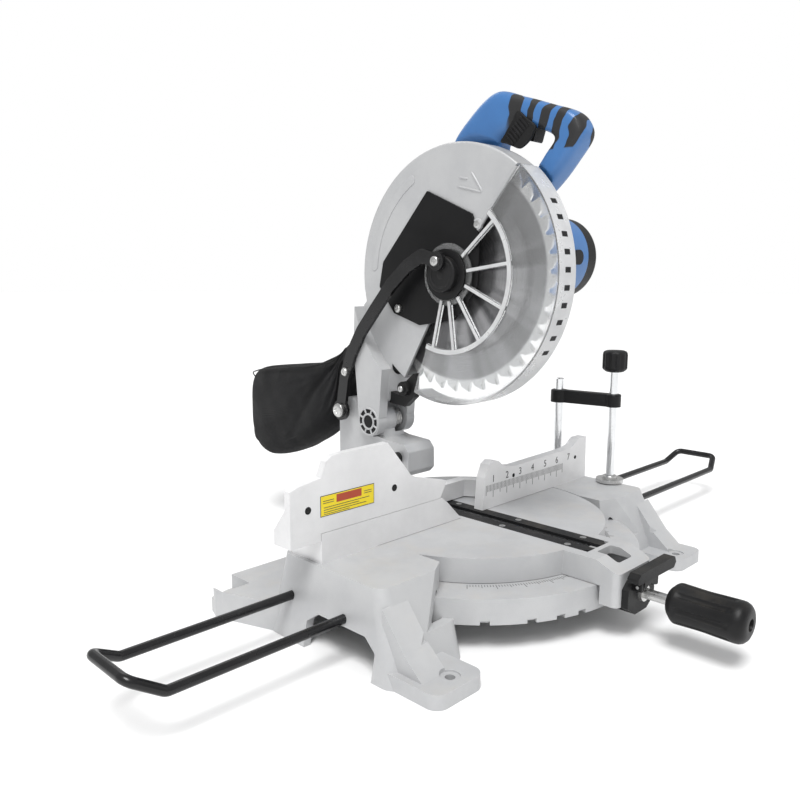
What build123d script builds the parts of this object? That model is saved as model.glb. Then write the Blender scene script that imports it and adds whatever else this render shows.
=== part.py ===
from build123d import *
import math
import os

os.makedirs("parts", exist_ok=True)

# Mitre saw: millimetres, +X operator's right, +Y away from the operator, +Z up.
# Origin: the table's turning axis at the bench plane.

# ---- driving sizes -------------------------------------------------------------------
table_radius = 150.0
table_top = 75.0
ring_radius = 186.0
ring_top = 50.4
ring_bottom = 26.0
table_gap = 0.6            # table underside above the ring
swing_gap = 0.8            # table rim to base
mitre_limit = 45.0

wing_inner = 140.0         # half-distances of the two wings from the turning axis
wing_outer = 226.0
wing_front = -95.0
wing_back = 40.0
foot_hole_x = 202.0
foot_hole_y = -152.0
rear_hole_x = 243.0
rear_hole_y = 108.0
foot_hole_radius = 4.5
foot_height = 13.0

rod_radius = 4.3
rod_height = 40.0
rod_front = -55.0
rod_rear = 18.0
rod_clearance = 0.08
bar_length = 390.0
left_bar_end = -427.0
right_bar_end = 545.0
bar_rise = 15.0

fence_front = -13.0
fence_thickness = 12.0
fence_foot = 75.4          # fence underside, just clear of the turning table
left_rail_top = 104.0

blade_radius = 127.5
blade_plate = 2.6
blade_teeth = 40
arbor_y = 17.0
arbor_z = 336.0
case_radius = 136.5
case_inner = 133.0
case_left = -14.5
case_right = 16.0
case_start = -60.0         # angles about the arbor, from +Y towards +Z
case_end = 128.0
guard_radius = 140.0
guard_start = 131.0
guard_end = 290.0
guard_wall_left = -19.5
guard_wall = 2.0

pivot_y = 129.0
pivot_z = 163.0
pivot_radius = 8.0
ear_radius = 18.0
ear_outer = 30.0
ear_inner = 17.0
barrel_half = 16.5
running_clearance = 0.06   # radial, for pins and shafts that turn
part_gap = 0.4             # between bodies that pass each other

anchor_y = 174.0           # lower end of the guard link
anchor_z = 172.0
crank_radius = 14.0        # upper end of the guard link, on the guard hub
crank_angle = 80.0
crank_y = arbor_y + crank_radius * math.cos(math.radians(crank_angle))
crank_z = arbor_z + crank_radius * math.sin(math.radians(crank_angle))
link_left = -35.5
link_thick = 4.5

motor_y = 3.0
motor_z = 356.0
motor_radius = 48.0
motor_start = 62.0
motor_end = 160.0
motor_cap_end = 182.0

handle_left = 10.0
handle_right = 42.0

lock_height = 43.0
grip_start = -242.0
grip_end = -314.0
grip_radius = 19.0

clamp_x = 208.0
clamp_y = 20.0
clamp_post_radius = 5.5
clamp_post_top = 204.0
socket_wall = 5.5
socket_bottom = rod_height + rod_radius + 0.7
screw_x = 222.0
screw_y = -50.0
clamp_arm_z = 181.0


# ---- small sketch builders -----------------------------------------------------------
def outline(plane, points, corner=0.0):
    with BuildSketch(plane) as face:
        with BuildLine():
            Polyline(*points, close=True)
        make_face()
        if corner:
            fillet(face.vertices(), corner)
    return face.sketch


def round_x(x, y, z, radius):
    with BuildSketch(Plane.YZ.offset(x)) as face:
        with Locations((y, z)):
            Circle(radius)
    return face.sketch


def round_y(y, x, z, radius):
    # faces away from the operator, so a positive extrusion goes to +Y
    with BuildSketch(Plane(origin=(0, y, 0), x_dir=(0, 0, 1), z_dir=(0, 1, 0))) as face:
        with Locations((z, x)):
            Circle(radius)
    return face.sketch


def round_z(z, x, y, radius):
    with BuildSketch(Plane.XY.offset(z)) as face:
        with Locations((x, y)):
            Circle(radius)
    return face.sketch


def box_z(z, x0, x1, y0, y1, corner=0.0):
    with BuildSketch(Plane.XY.offset(z)) as face:
        with Locations(((x0 + x1) / 2, (y0 + y1) / 2)):
            Rectangle(x1 - x0, y1 - y0)
        if corner:
            fillet(face.vertices(), corner)
    return face.sketch


def front_plane(y):
    # local x = +X, local y = +Z, normal towards the operator (-Y)
    return Plane(origin=(0, y, 0), x_dir=(1, 0, 0), z_dir=(0, -1, 0))


def polar(y, z, radius, degrees):
    angle = math.radians(degrees)
    return (y + radius * math.cos(angle), z + radius * math.sin(angle))


def sector(plane, y, z, inner, outer, start, end):
    # ring sector on a plane whose local axes carry (y, z)
    with BuildSketch(plane) as face:
        with BuildLine():
            CenterArc((y, z), outer, start, end - start)
            CenterArc((y, z), inner, start, end - start)
            Line(polar(y, z, inner, start), polar(y, z, outer, start))
            Line(polar(y, z, inner, end), polar(y, z, outer, end))
        make_face()
    return face.sketch


def top_sector(z, inner, outer, start, end):
    return sector(Plane.XY.offset(z), 0, 0, inner, outer, start, end)


def save(shape, name):
    shape.part.label = name
    export_step(shape.part, "parts/" + name + ".step")


# ======================================================================================
# Base
# ======================================================================================
with BuildPart() as base_casting:
    # two wings that rise from a wide skirt to the fence pads
    for side in (-1, 1):
        with BuildSketch(Plane.XY):
            with Locations((side * 194, -38)):
                RectangleRounded(92, 174, 14)
        with BuildSketch(Plane.XY.offset(fence_foot)):
            with Locations((side * (wing_inner + wing_outer) / 2, (wing_front + wing_back) / 2)):
                RectangleRounded(wing_outer - wing_inner, wing_back - wing_front, 12)
        loft()
    for side in (-1, 1):
        with BuildSketch(Plane.XY.offset(-1)):
            with Locations((side * 194, -38)):
                RectangleRounded(76, 158, 8)
        with BuildSketch(Plane.XY.offset(fence_foot - 9)):
            with Locations((side * (wing_inner + wing_outer) / 2, (wing_front + wing_back) / 2)):
                RectangleRounded(wing_outer - wing_inner - 16, wing_back - wing_front - 16, 6)
        loft(mode=Mode.SUBTRACT)
    # bowl that carries the turning table
    extrude(round_z(ring_bottom, 0, 0, ring_radius), amount=ring_top - ring_bottom)
    extrude(round_z(ring_bottom - 1, 0, 0, ring_radius - 8), amount=ring_top - ring_bottom - 4.6,
            mode=Mode.SUBTRACT)
    for k in range(8):
        with Locations(Rot(0, 0, 22.5 + 45 * k) * Pos(100, 0, 38)):
            Box(164, 5, 20)
    extrude(round_z(20, 0, 0, 24), amount=ring_top - 20)
    # front feet with their gussets
    for side in (-1, 1):
        with BuildSketch(Plane.XY):
            with Locations((side * 206, -132)):
                RectangleRounded(60, 74, 12)
        extrude(amount=foot_height)
        gusset = [(-100, 0), (-146, 0), (-146, 13), (-126, 30), (-100, 62)]
        extrude(outline(Plane.YZ.offset(side * 214 - 15), gusset), amount=30)
    # rear outriggers
    for side in (-1, 1):
        arm = [(side * 120, 128), (side * 150, 40), (side * 236, 30), (side * 262, 102),
               (side * 255, 122), (side * 232, 127)]
        extrude(outline(Plane.XY, arm, 6), amount=28)
        inner_arm = [(side * 134, 118), (side * 158, 48), (side * 228, 40), (side * 236, 84),
                     (side * 222, 100), (side * 200, 118)]
        extrude(outline(Plane.XY.offset(-1), inner_arm, 4), amount=23, mode=Mode.SUBTRACT)
        extrude(box_z(foot_height, side * rear_hole_x - 16, side * rear_hole_x + 16,
                      rear_hole_y - 14, rear_hole_y + 40), amount=20, mode=Mode.SUBTRACT)
    # side arches, left and right, and the wider openings towards the back
    for side in (-1, 1):
        arch = [(-98, -1), (-98, 24), (-84, 34), (-22, 34), (-8, 24), (-8, -1)]
        extrude(outline(Plane.YZ.offset(side * 230 - 22), arch, 3), amount=44, mode=Mode.SUBTRACT)
    # room for the table, its neck and its rear arm to swing
    extrude(round_z(ring_top, 0, 0, table_radius + swing_gap), amount=60, mode=Mode.SUBTRACT)
    extrude(top_sector(ring_top, 100, 245, -90 - mitre_limit - 14, -90 + mitre_limit + 14),
            amount=60, mode=Mode.SUBTRACT)
    extrude(top_sector(31.5, ring_radius, 245, -90 - mitre_limit - 14, -90 + mitre_limit + 14),
            amount=30, mode=Mode.SUBTRACT)
    extrude(top_sector(ring_top, 100, 215, 90 - mitre_limit - 14, 90 + mitre_limit + 14),
            amount=60, mode=Mode.SUBTRACT)
    # pivot bore, foot holes with their spot faces
    extrude(round_z(-1, 0, 0, 8.0), amount=80, mode=Mode.SUBTRACT)
    for side in (-1, 1):
        extrude(round_z(-1, side * foot_hole_x, foot_hole_y, foot_hole_radius), amount=30,
                mode=Mode.SUBTRACT)
        extrude(round_z(foot_height - 1.5, side * foot_hole_x, foot_hole_y, 9.0), amount=60,
                mode=Mode.SUBTRACT)
        extrude(round_z(-1, side * rear_hole_x, rear_hole_y, foot_hole_radius), amount=40,
                mode=Mode.SUBTRACT)
    # detent notches under the front of the ring
    for stop in (-45, -31.6, -22.5, -15, 0, 15, 22.5, 31.6, 45):
        with Locations(Rot(0, 0, stop) * Pos(0, -ring_radius, ring_bottom + 1.5)):
            Box(9, 12, 5, mode=Mode.SUBTRACT)
    # bores for the extension bars
    for row in (rod_front, rod_rear):
        extrude(round_x(-280, row, rod_height, rod_radius + rod_clearance), amount=560,
                mode=Mode.SUBTRACT)
    # clamp post socket, standing clear over the rear bar
    extrude(round_z(socket_bottom, clamp_x, clamp_y, clamp_post_radius + socket_wall),
            amount=fence_foot - socket_bottom)
    extrude(round_z(socket_bottom + 5, clamp_x, clamp_y, clamp_post_radius + running_clearance),
            amount=60, mode=Mode.SUBTRACT)
save(base_casting, "base_casting")

with BuildPart() as centre_bolt:
    extrude(round_z(14, 0, 0, 13), amount=6)
    extrude(round_z(20, 0, 0, 7.9), amount=41)
save(centre_bolt, "centre_bolt")

# ======================================================================================
# Turning table
# ======================================================================================
table_floor = ring_top + table_gap
neck_half = 32.0
neck_end = -206.0
slot_half = 9.0
insert_half = 20.0
insert_front = -166.0
insert_back = 48.0
insert_depth = 3.4
trunnion_radius = 24.0
trunnion_end = 172.0

with BuildPart() as turntable:
    extrude(round_z(table_floor, 0, 0, table_radius), amount=table_top - table_floor)
    extrude(box_z(table_floor, -neck_half, neck_half, neck_end, -100), amount=table_top - table_floor)
    extrude(box_z(33, -neck_half, neck_half, neck_end, -ring_radius - 1.2), amount=25)
    extrude(box_z(table_floor, -36, 36, 100, trunnion_end), amount=table_top - table_floor)
    extrude(round_y(146, 0, table_top, trunnion_radius), amount=trunnion_end - 146)
    # hollow underneath
    extrude(round_z(table_floor - 1, 0, 0, table_radius - 7), amount=table_top - table_floor - 7,
            mode=Mode.SUBTRACT)
    extrude(box_z(table_floor - 1, -neck_half + 6, neck_half - 6, -196, -100),
            amount=table_top - table_floor - 7, mode=Mode.SUBTRACT)
    extrude(round_z(table_floor, 0, 0, 22), amount=20)
    for k in range(8):
        with Locations(Rot(0, 0, 22.5 + 45 * k) * Pos(82, 0, 60.5)):
            Box(124, 4, 18)
    # the neck's top falls away towards the front
    slope = [(-180, 76), (neck_end - 1, 76), (neck_end - 1, 65.5), (neck_end + 1, 65.5)]
    extrude(outline(Plane.YZ.offset(-40), slope), amount=80, mode=Mode.SUBTRACT)
    fillet(turntable.edges().filter_by(Axis.Z).filter_by_position(Axis.Y, neck_end - 1, neck_end + 1), 7)
    # recess for the kerf plates, blade slot, pocket behind the front lip
    extrude(box_z(table_top - insert_depth, -insert_half, insert_half, insert_front, insert_back),
            amount=6, mode=Mode.SUBTRACT)
    extrude(box_z(40, -slot_half, slot_half, insert_front + 12, insert_back - 14), amount=40,
            mode=Mode.SUBTRACT)
    extrude(box_z(table_floor + 8, -13, 13, -195, -171.5, 3), amount=30, mode=Mode.SUBTRACT)
    # pivot bore, lock rod bore, bevel bore
    extrude(round_z(40, 0, 0, 8.0), amount=21, mode=Mode.SUBTRACT)
    extrude(round_y(neck_end - 1, 0, lock_height, 5.0 + running_clearance), amount=30,
            mode=Mode.SUBTRACT)
    extrude(round_y(140, 0, table_top, 8.0), amount=40, mode=Mode.SUBTRACT)
    extrude(box_z(table_top - 0.01, -16, 16, 120, 150), amount=40, mode=Mode.SUBTRACT)
    for side in (-1, 1):
        for y in (-140, -60, 24):
            extrude(round_z(60, side * 14.2, y, 1.7), amount=20, mode=Mode.SUBTRACT)
save(turntable, "turntable")

for side, name in ((-1, "kerf_plate_left"), (1, "kerf_plate_right")):
    low = min(side * 6.0, side * (insert_half - 0.3))
    high = max(side * 6.0, side * (insert_half - 0.3))
    floor = table_top - insert_depth + 0.1
    with BuildPart() as kerf_plate:
        extrude(box_z(floor, low, high, insert_front + 0.4, insert_back - 0.4),
                amount=table_top - floor)
        corner = kerf_plate.edges().filter_by(Axis.Z).group_by(Axis.Y)[0]
        chamfer(corner.sort_by(Axis.X)[-1 if side > 0 else 0], 6)
        for y in (-140, -60, 24):
            extrude(round_z(floor - 1, side * 14.2, y, 1.7), amount=8, mode=Mode.SUBTRACT)
            extrude(round_z(table_top - 1.8, side * 14.2, y, 3.4), amount=8, mode=Mode.SUBTRACT)
    save(kerf_plate, name)

with BuildPart() as kerf_screws:
    for side in (-1, 1):
        for y in (-140, -60, 24):
            extrude(round_z(table_top - 1.8, side * 14.2, y, 3.3), amount=1.8)
            extrude(round_z(66, side * 14.2, y, 1.6), amount=table_top - 1.8 - 66)
            with Locations((side * 14.2, y, table_top)):
                Box(5.0, 0.8, 1.0, mode=Mode.SUBTRACT)
save(kerf_screws, "kerf_screws")

with BuildPart() as front_bracket:
    shield = [(-25, 50), (-25, 33), (-11, 24), (11, 24), (25, 33), (25, 50), (17, 57), (-17, 57)]
    extrude(outline(front_plane(neck_end - 0.1), shield, 2), amount=7)
    extrude(box_z(24, -11, 11, neck_end - 1, neck_end + 14), amount=8.6)
    extrude(round_y(neck_end - 12, 0, lock_height, 5.6), amount=20, mode=Mode.SUBTRACT)
    for side in (-1, 1):
        with Locations((side * 14, neck_end - 10.5, 53)):
            Box(4, 9, 8)
    extrude(round_x(-30, neck_end - 11, 53, 1.5), amount=60, mode=Mode.SUBTRACT)
save(front_bracket, "front_bracket")

with BuildPart() as lever_pin:
    extrude(round_x(-17, neck_end - 11, 53, 1.5), amount=34)
save(lever_pin, "lever_pin")

with BuildPart() as detent_lever:
    blade_shape = [(-24, 58), (46, 57), (50, 62), (47, 68), (-20, 67.5), (-25, 63)]
    extrude(outline(front_plane(neck_end - 5), blade_shape, 1.5), amount=11)
    tongue = [(neck_end - 7.6, 59), (neck_end - 16, 59), (neck_end - 15, 49.5),
              (neck_end - 8.6, 50.5)]
    extrude(outline(Plane.YZ.offset(-11.5), tongue, 0.8), amount=23)
    extrude(round_x(-20, neck_end - 11, 53, 1.5 + running_clearance), amount=40,
            mode=Mode.SUBTRACT)
    extrude(round_y(neck_end - 30, 0, lock_height, 10.2), amount=40, mode=Mode.SUBTRACT)
save(detent_lever, "detent_lever")

with BuildPart() as lock_collar:
    extrude(round_y(neck_end - 7.1 - 4.0, 0, lock_height, 8.0), amount=3.9)
    extrude(round_y(neck_end - 30, 0, lock_height, 5.0 + running_clearance), amount=40,
            mode=Mode.SUBTRACT)
save(lock_collar, "lock_collar")

with BuildPart() as lock_rod:
    extrude(round_y(-262, 0, lock_height, 5.0), amount=262 - ring_radius - 0.6)
    chamfer(lock_rod.edges().group_by(Axis.Y)[-1], 1.2)
save(lock_rod, "lock_rod")

with BuildPart() as lock_handle:
    extrude(round_y(grip_start, 0, lock_height, 8.5), amount=22)
    extrude(round_y(grip_end, 0, lock_height, grip_radius), amount=grip_start - grip_end)
    fillet(lock_handle.edges().filter_by(GeomType.CIRCLE).group_by(Axis.Y)[0], 5)
    shoulder = lock_handle.edges().filter_by(GeomType.CIRCLE).filter_by_position(
        Axis.Y, grip_start - 0.1, grip_start + 0.1).sort_by(SortBy.LENGTH)[-1]
    chamfer(shoulder, 5)
    for k in range(8):
        turn = Pos(0, 0, lock_height) * Rot(0, 22.5 + 45 * k, 0)
        with Locations(turn * Pos(0, -278, grip_radius + 3.6) * Rot(90, 0, 0)):
            Cylinder(5.0, 54, mode=Mode.SUBTRACT)
    extrude(round_y(-262, 0, lock_height, 5.0), amount=60, mode=Mode.SUBTRACT)
save(lock_handle, "lock_handle")

# ======================================================================================
# Fence
# ======================================================================================
with BuildPart() as fence:
    back = fence_front + fence_thickness
    left_rail = [(-221, fence_foot), (-26, fence_foot), (-48, 97), (-57, left_rail_top),
                 (-221, left_rail_top)]
    extrude(outline(front_plane(back), left_rail), amount=fence_thickness)
    right_rail = [(11, fence_foot), (224, fence_foot), (223, 129.2), (206, 129.4), (193, 121),
                  (181, 118.8), (70, 116.6), (49, 120), (39, 127.5), (28, 129.6), (21, 126),
                  (14.5, 112)]
    extrude(outline(front_plane(back), right_rail), amount=fence_thickness)
    # feet and webs on the wings
    for side in (-1, 1):
        low = min(side * 158, side * 221)
        extrude(box_z(fence_foot, low, low + 63, back - 2, 31), amount=7)
        for x in (161, 218 if side < 0 else 186):
            web = [(back - 1, 82), (24, 82), (back - 1, 100)]
            extrude(outline(Plane.YZ.offset(side * x - 3), web), amount=6)
    # yoke that joins the halves behind the blade
    yoke = [(-66, back - 1), (-66, 18), (-46, 50), (46, 50), (66, 18), (66, back - 1), (52, back - 1),
            (52, 16), (39, 37), (-39, 37), (-52, 16), (-52, back - 1)]
    extrude(outline(Plane.XY.offset(fence_foot + 1), yoke), amount=20)
    # groove for the sliding fence's tongue
    extrude(box_z(left_rail_top - 6, -222, -66, fence_front + 3.4, fence_front + 8.6), amount=10,
            mode=Mode.SUBTRACT)
    # clamp post hole, bolt holes
    extrude(round_z(fence_foot - 1, clamp_x, clamp_y, clamp_post_radius + 3.5), amount=12,
            mode=Mode.SUBTRACT)
    for x in (-200, -172, 172):
        extrude(round_z(fence_foot - 1, x, 19, 3.3), amount=12, mode=Mode.SUBTRACT)
    for x in (67.5, 198.3):
        extrude(round_y(fence_front - 1, x, 105.8, 2.0), amount=20, mode=Mode.SUBTRACT)
save(fence, "fence")

with BuildPart() as fence_bolts:
    for x in (-200, -172, 172):
        with BuildSketch(Plane.XY.offset(fence_foot + 7)):
            with Locations((x, 19)):
                RegularPolygon(5.5, 6)
        extrude(amount=5)
        extrude(round_z(fence_foot, x, 19, 3.2), amount=7.5)
save(fence_bolts, "fence_bolts")

with BuildPart() as sliding_fence:
    low = left_rail_top + part_gap
    plate = [(-256, 97), (-256, 149.5), (-247, 152), (-221, 156), (-215, 170), (-208, 174),
             (-198, 175), (-137, 175.5), (-105, 138), (-95, 133), (-50, 121.5), (-60, low),
             (-221.6, low), (-221.6, 97)]
    extrude(outline(front_plane(fence_front + 7.5), plate), amount=7.5)
    extrude(box_z(left_rail_top - 5.6, -217, -70, fence_front + 3.8, fence_front + 8.2), amount=8)
    extrude(box_z(low, -256, -70, fence_front + 7, fence_front + 15), amount=9)
    for x in (-256, -206, -156, -110):
        web = [(fence_front + 7, low), (fence_front + 24, low), (fence_front + 24, low + 6),
               (fence_front + 7, low + 28)]
        extrude(outline(Plane.YZ.offset(x), web), amount=6)
    extrude(box_z(97, -256, -250, fence_front + 6, fence_front + 24), amount=12)
    for x in (-236, -128):
        extrude(round_y(fence_front - 1, x, 129, 3.0), amount=12, mode=Mode.SUBTRACT)
save(sliding_fence, "sliding_fence")

# ======================================================================================
# Extension bars
# ======================================================================================
for side, end, name in ((-1, left_bar_end, "left_bar"), (1, right_bar_end, "right_bar")):
    inner = end - side * bar_length
    bend = end - side * 26
    high = rod_height + bar_rise
    with BuildPart() as bar:
        with BuildLine() as bar_path:
            FilletPolyline((inner, rod_front, rod_height), (bend, rod_front, rod_height),
                           (end, rod_front + 8, high), (end, rod_rear - 8, high),
                           (bend, rod_rear, rod_height), (inner, rod_rear, rod_height), radius=9)
        with BuildSketch(Plane(origin=bar_path.line @ 0, z_dir=bar_path.line % 0)):
            Circle(rod_radius)
        sweep()
    save(bar, name)

# ======================================================================================
# Clamp
# ======================================================================================
clamp_angle = math.degrees(math.atan2(screw_y - clamp_y, screw_x - clamp_x))
clamp_reach = math.hypot(screw_x - clamp_x, screw_y - clamp_y)
arm_bottom = clamp_arm_z - 8

with BuildPart() as clamp_post:
    extrude(round_z(socket_bottom + 7, clamp_x, clamp_y, clamp_post_radius),
            amount=clamp_post_top - socket_bottom - 7)
    chamfer(clamp_post.edges().group_by(Axis.Z)[-1], 1)
save(clamp_post, "clamp_post")

with BuildPart() as clamp_arm:
    with BuildSketch(Plane(origin=(clamp_x, clamp_y, arm_bottom),
                           x_dir=(math.cos(math.radians(clamp_angle)),
                                  math.sin(math.radians(clamp_angle)), 0), z_dir=(0, 0, 1))):
        with Locations((clamp_reach / 2, 0)):
            Rectangle(clamp_reach, 13)
        Circle(clamp_post_radius + socket_wall)
        with Locations((clamp_reach, 0)):
            Circle(9.5)
    extrude(amount=16)
    fillet(clamp_arm.edges().group_by(Axis.Z)[-1], 2)
    extrude(round_z(arm_bottom - 1, clamp_x, clamp_y, clamp_post_radius), amount=30,
            mode=Mode.SUBTRACT)
    extrude(round_z(arm_bottom - 1, screw_x, screw_y, 5.0 + running_clearance), amount=30,
            mode=Mode.SUBTRACT)
save(clamp_arm, "clamp_arm")

pad_bottom = fence_foot + 1.4
with BuildPart() as clamp_pad:
    extrude(round_z(pad_bottom, screw_x, screw_y, 17), amount=4)
    extrude(round_z(pad_bottom + 4, screw_x, screw_y, 9), amount=4)
    fillet(clamp_pad.edges().group_by(Axis.Z)[-1], 1.2)
    extrude(round_z(pad_bottom + 1.6, screw_x, screw_y, 5.2), amount=20, mode=Mode.SUBTRACT)
save(clamp_pad, "clamp_pad")

with BuildPart() as clamp_screw:
    extrude(round_z(pad_bottom + 2, screw_x, screw_y, 5.0), amount=222 - pad_bottom - 2)
    chamfer(clamp_screw.edges().group_by(Axis.Z)[0], 0.8)
save(clamp_screw, "clamp_screw")

with BuildPart() as clamp_knob:
    with BuildSketch(Plane.XY.offset(217)):
        with Locations((screw_x, screw_y)):
            Circle(15.5)
            with PolarLocations(15.5, 8):
                Circle(2.6, mode=Mode.SUBTRACT)
    extrude(amount=27)
    fillet(clamp_knob.edges().group_by(Axis.Z)[-1], 2)
    extrude(round_z(216, screw_x, screw_y, 5.0), amount=6, mode=Mode.SUBTRACT)
save(clamp_knob, "clamp_knob")

# ======================================================================================
# Bevel arm behind the table
# ======================================================================================
arm_start = trunnion_end + part_gap
arm_back = arm_start + 18
with BuildPart() as bevel_arm:
    body = [(arm_start, 58), (arm_back, 58), (arm_back, 174), (184, 185), (166, 187), (158, 180),
            (148, 150), (112, 143), (78, 141), (71, 133), (70.5, 110), (77, 103), (arm_start, 103)]
    extrude(outline(Plane.YZ.offset(-22), body, 3), amount=44)
    extrude(round_y(arm_start, 0, table_top, trunnion_radius), amount=arm_back - arm_start)
    extrude(round_x(-barrel_half, pivot_y, pivot_z, 15.5), amount=2 * barrel_half)
    saddle = [(114, 138), (150, 146), (158, 174), (138, 172), (118, 156)]
    extrude(outline(Plane.YZ.offset(-barrel_half), saddle), amount=2 * barrel_half)
    # keep only a round foot below the arm
    foot_trim = [(-40, 40), (-40, 75), (-24, 75), (-20.8, 63), (-12, 54.2), (0, 51), (12, 54.2),
                 (20.8, 63), (24, 75), (40, 75), (40, 40)]
    extrude(outline(front_plane(arm_back + 5), foot_trim), amount=60, mode=Mode.SUBTRACT)
    # free the swing of the head's two ears
    for x in (-60, barrel_half):
        extrude(round_x(x, pivot_y, pivot_z, ear_radius + 1.2), amount=60 - barrel_half,
                mode=Mode.SUBTRACT)
    extrude(round_x(-40, pivot_y, pivot_z, pivot_radius), amount=80, mode=Mode.SUBTRACT)
    # spring chamber on the right half of the barrel
    extrude(round_x(2, pivot_y, pivot_z, 19.5), amount=60, mode=Mode.SUBTRACT)
    extrude(round_y(160, 0, table_top, 8.0 + running_clearance), amount=60, mode=Mode.SUBTRACT)
    extrude(round_x(-30, anchor_y, anchor_z, 4.0), amount=40, mode=Mode.SUBTRACT)
    extrude(round_x(-30, 84, 126, 3.5 + running_clearance), amount=22, mode=Mode.SUBTRACT)
save(bevel_arm, "bevel_arm")

with BuildPart() as bevel_bolt:
    extrude(round_y(151, 0, table_top, 7.98), amount=arm_back - 151 + 3)
    with BuildSketch(Plane(origin=(0, arm_back + 3, 0), x_dir=(0, 0, 1), z_dir=(0, 1, 0))):
        with Locations((table_top, 0)):
            RegularPolygon(13, 6)
    extrude(amount=9)
save(bevel_bolt, "bevel_bolt")

with BuildPart() as pivot_shaft:
    extrude(round_x(-ear_outer + 2.5, pivot_y, pivot_z, pivot_radius), amount=2 * ear_outer - 5)
save(pivot_shaft, "pivot_shaft")

with BuildPart() as return_spring:
    with BuildLine() as coil:
        Helix(pitch=3.0, height=10.5, radius=11.2, center=(3.9, pivot_y, pivot_z),
              direction=(1, 0, 0))
    with BuildSketch(Plane(origin=coil.line @ 0, z_dir=coil.line % 0)):
        Circle(1.25)
    sweep(is_frenet=True)
save(return_spring, "return_spring")

with BuildPart() as link_bolt:
    extrude(round_x(link_left - 4.6, anchor_y, anchor_z, 8.5), amount=4.2)
    fillet(link_bolt.edges().group_by(Axis.X)[0], 1.2)
    extrude(round_x(link_left - 0.4, anchor_y, anchor_z, 3.98), amount=-link_left - 4)
save(link_bolt, "link_bolt")

with BuildPart() as hold_pin:
    extrude(round_x(-32, 84, 126, 6.5), amount=7)
    fillet(hold_pin.edges().group_by(Axis.X)[0], 1.5)
    extrude(round_x(-25, 84, 126, 3.5), amount=12)
save(hold_pin, "hold_pin")

# ======================================================================================
# Head: blade case and its arm
# ======================================================================================
front_cut = [(arbor_y, arbor_z)]
for degrees in (case_end, 160, 200, 240, 275, 360 + case_start):
    front_cut.append(polar(arbor_y, arbor_z, 320, degrees))

arm_side = [(56, 286), (84, 254), (106, 231), (109, 200), (111.5, 167), (146.5, 167), (150, 205),
            (155, 250), (153, 300), (120, 330), (70, 316)]
arm_core = [(60, 286), (84, 254), (106, 231), (109.5, 188), (148.5, 188), (155, 250), (153, 300),
            (120, 330), (70, 316)]
cover_edge = [(50, 425), (118, 350), (124, 322), (100, 292), (60, 280), (8, 288), (-22, 322),
              (-24, 372), (-13, 398)]
window_edge = [(47, 419), (112, 347), (117, 323), (97, 297), (60, 286), (11, 294), (-16, 325),
               (-18, 370), (-9, 393)]

with BuildPart() as blade_case:
    extrude(round_x(case_left, arbor_y, arbor_z, case_radius), amount=case_right - case_left)
    extrude(outline(Plane.YZ.offset(case_left - 1), front_cut), amount=40, mode=Mode.SUBTRACT)
    case_rim = blade_case.edges().filter_by(GeomType.CIRCLE)
    fillet(case_rim, 2.2)
    # arm down to the pivot: core, then one ear each side
    extrude(outline(Plane.YZ.offset(case_left), arm_core, 3), amount=case_right - case_left)
    for x in (-ear_outer, ear_inner):
        extrude(outline(Plane.YZ.offset(x), arm_side, 3), amount=ear_outer - ear_inner)
        extrude(round_x(x, pivot_y, pivot_z, ear_radius), amount=ear_outer - ear_inner)
    extrude(outline(Plane.YZ.offset(-ear_inner), arm_core, 3), amount=2 * ear_inner)
    # right wall web that carries the gear case
    extrude(round_x(11.5, arbor_y, arbor_z, 62), amount=case_right - 11.5)
    # cavity for the blade
    extrude(round_x(-11.5, arbor_y, arbor_z, case_inner), amount=23, mode=Mode.SUBTRACT)
    # window for the centre cover; the guard sweeps past the arm's left face
    extrude(outline(Plane.YZ.offset(-40), window_edge), amount=30, mode=Mode.SUBTRACT)
    extrude(round_x(-40, arbor_y, arbor_z, guard_radius + 1.2), amount=40 + case_left,
            mode=Mode.SUBTRACT)
    # bores
    extrude(round_x(-40, pivot_y, pivot_z, pivot_radius + running_clearance), amount=80,
            mode=Mode.SUBTRACT)
    extrude(round_x(10, arbor_y, arbor_z, 15.0), amount=10, mode=Mode.SUBTRACT)
    extrude(round_y(98, 0, 232, 13.0), amount=82, mode=Mode.SUBTRACT)
save(blade_case, "blade_case")

with BuildPart() as centre_cover:
    extrude(outline(Plane.YZ.offset(case_left - 2.2), cover_edge, 2), amount=2.2)
    extrude(round_x(-20.6, arbor_y, arbor_z, 10.0), amount=7)
    extrude(round_x(case_left - 0.1, arbor_y, arbor_z, 24), amount=3)
    extrude(round_x(-11.6, arbor_y, arbor_z, 30), amount=10, mode=Mode.SUBTRACT)
save(centre_cover, "centre_cover")

with BuildPart() as gear_case:
    extrude(round_x(case_right, arbor_y, arbor_z, 42), amount=30)
    extrude(round_x(case_right, motor_y, motor_z, motor_radius), amount=motor_start - case_right)
    fillet(gear_case.edges().filter_by(GeomType.CIRCLE).group_by(Axis.X)[-1], 3)
    extrude(round_x(case_right - 1, arbor_y, arbor_z, 34), amount=22, mode=Mode.SUBTRACT)
    extrude(round_x(case_right - 1, arbor_y, arbor_z, 8.0 + running_clearance), amount=60,
            mode=Mode.SUBTRACT)
    extrude(round_x(case_right + 6, motor_y, motor_z, 13.5), amount=60, mode=Mode.SUBTRACT)
save(gear_case, "gear_case")

with BuildPart() as motor_housing:
    extrude(round_x(motor_start, motor_y, motor_z, motor_radius), amount=motor_end - motor_start)
    fillet(motor_housing.edges().group_by(Axis.X)[-1], 2)
    extrude(round_x(motor_start - 1, motor_y, motor_z, motor_radius - 4),
            amount=motor_end - motor_start + 10, mode=Mode.SUBTRACT)
save(motor_housing, "motor_housing")

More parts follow.
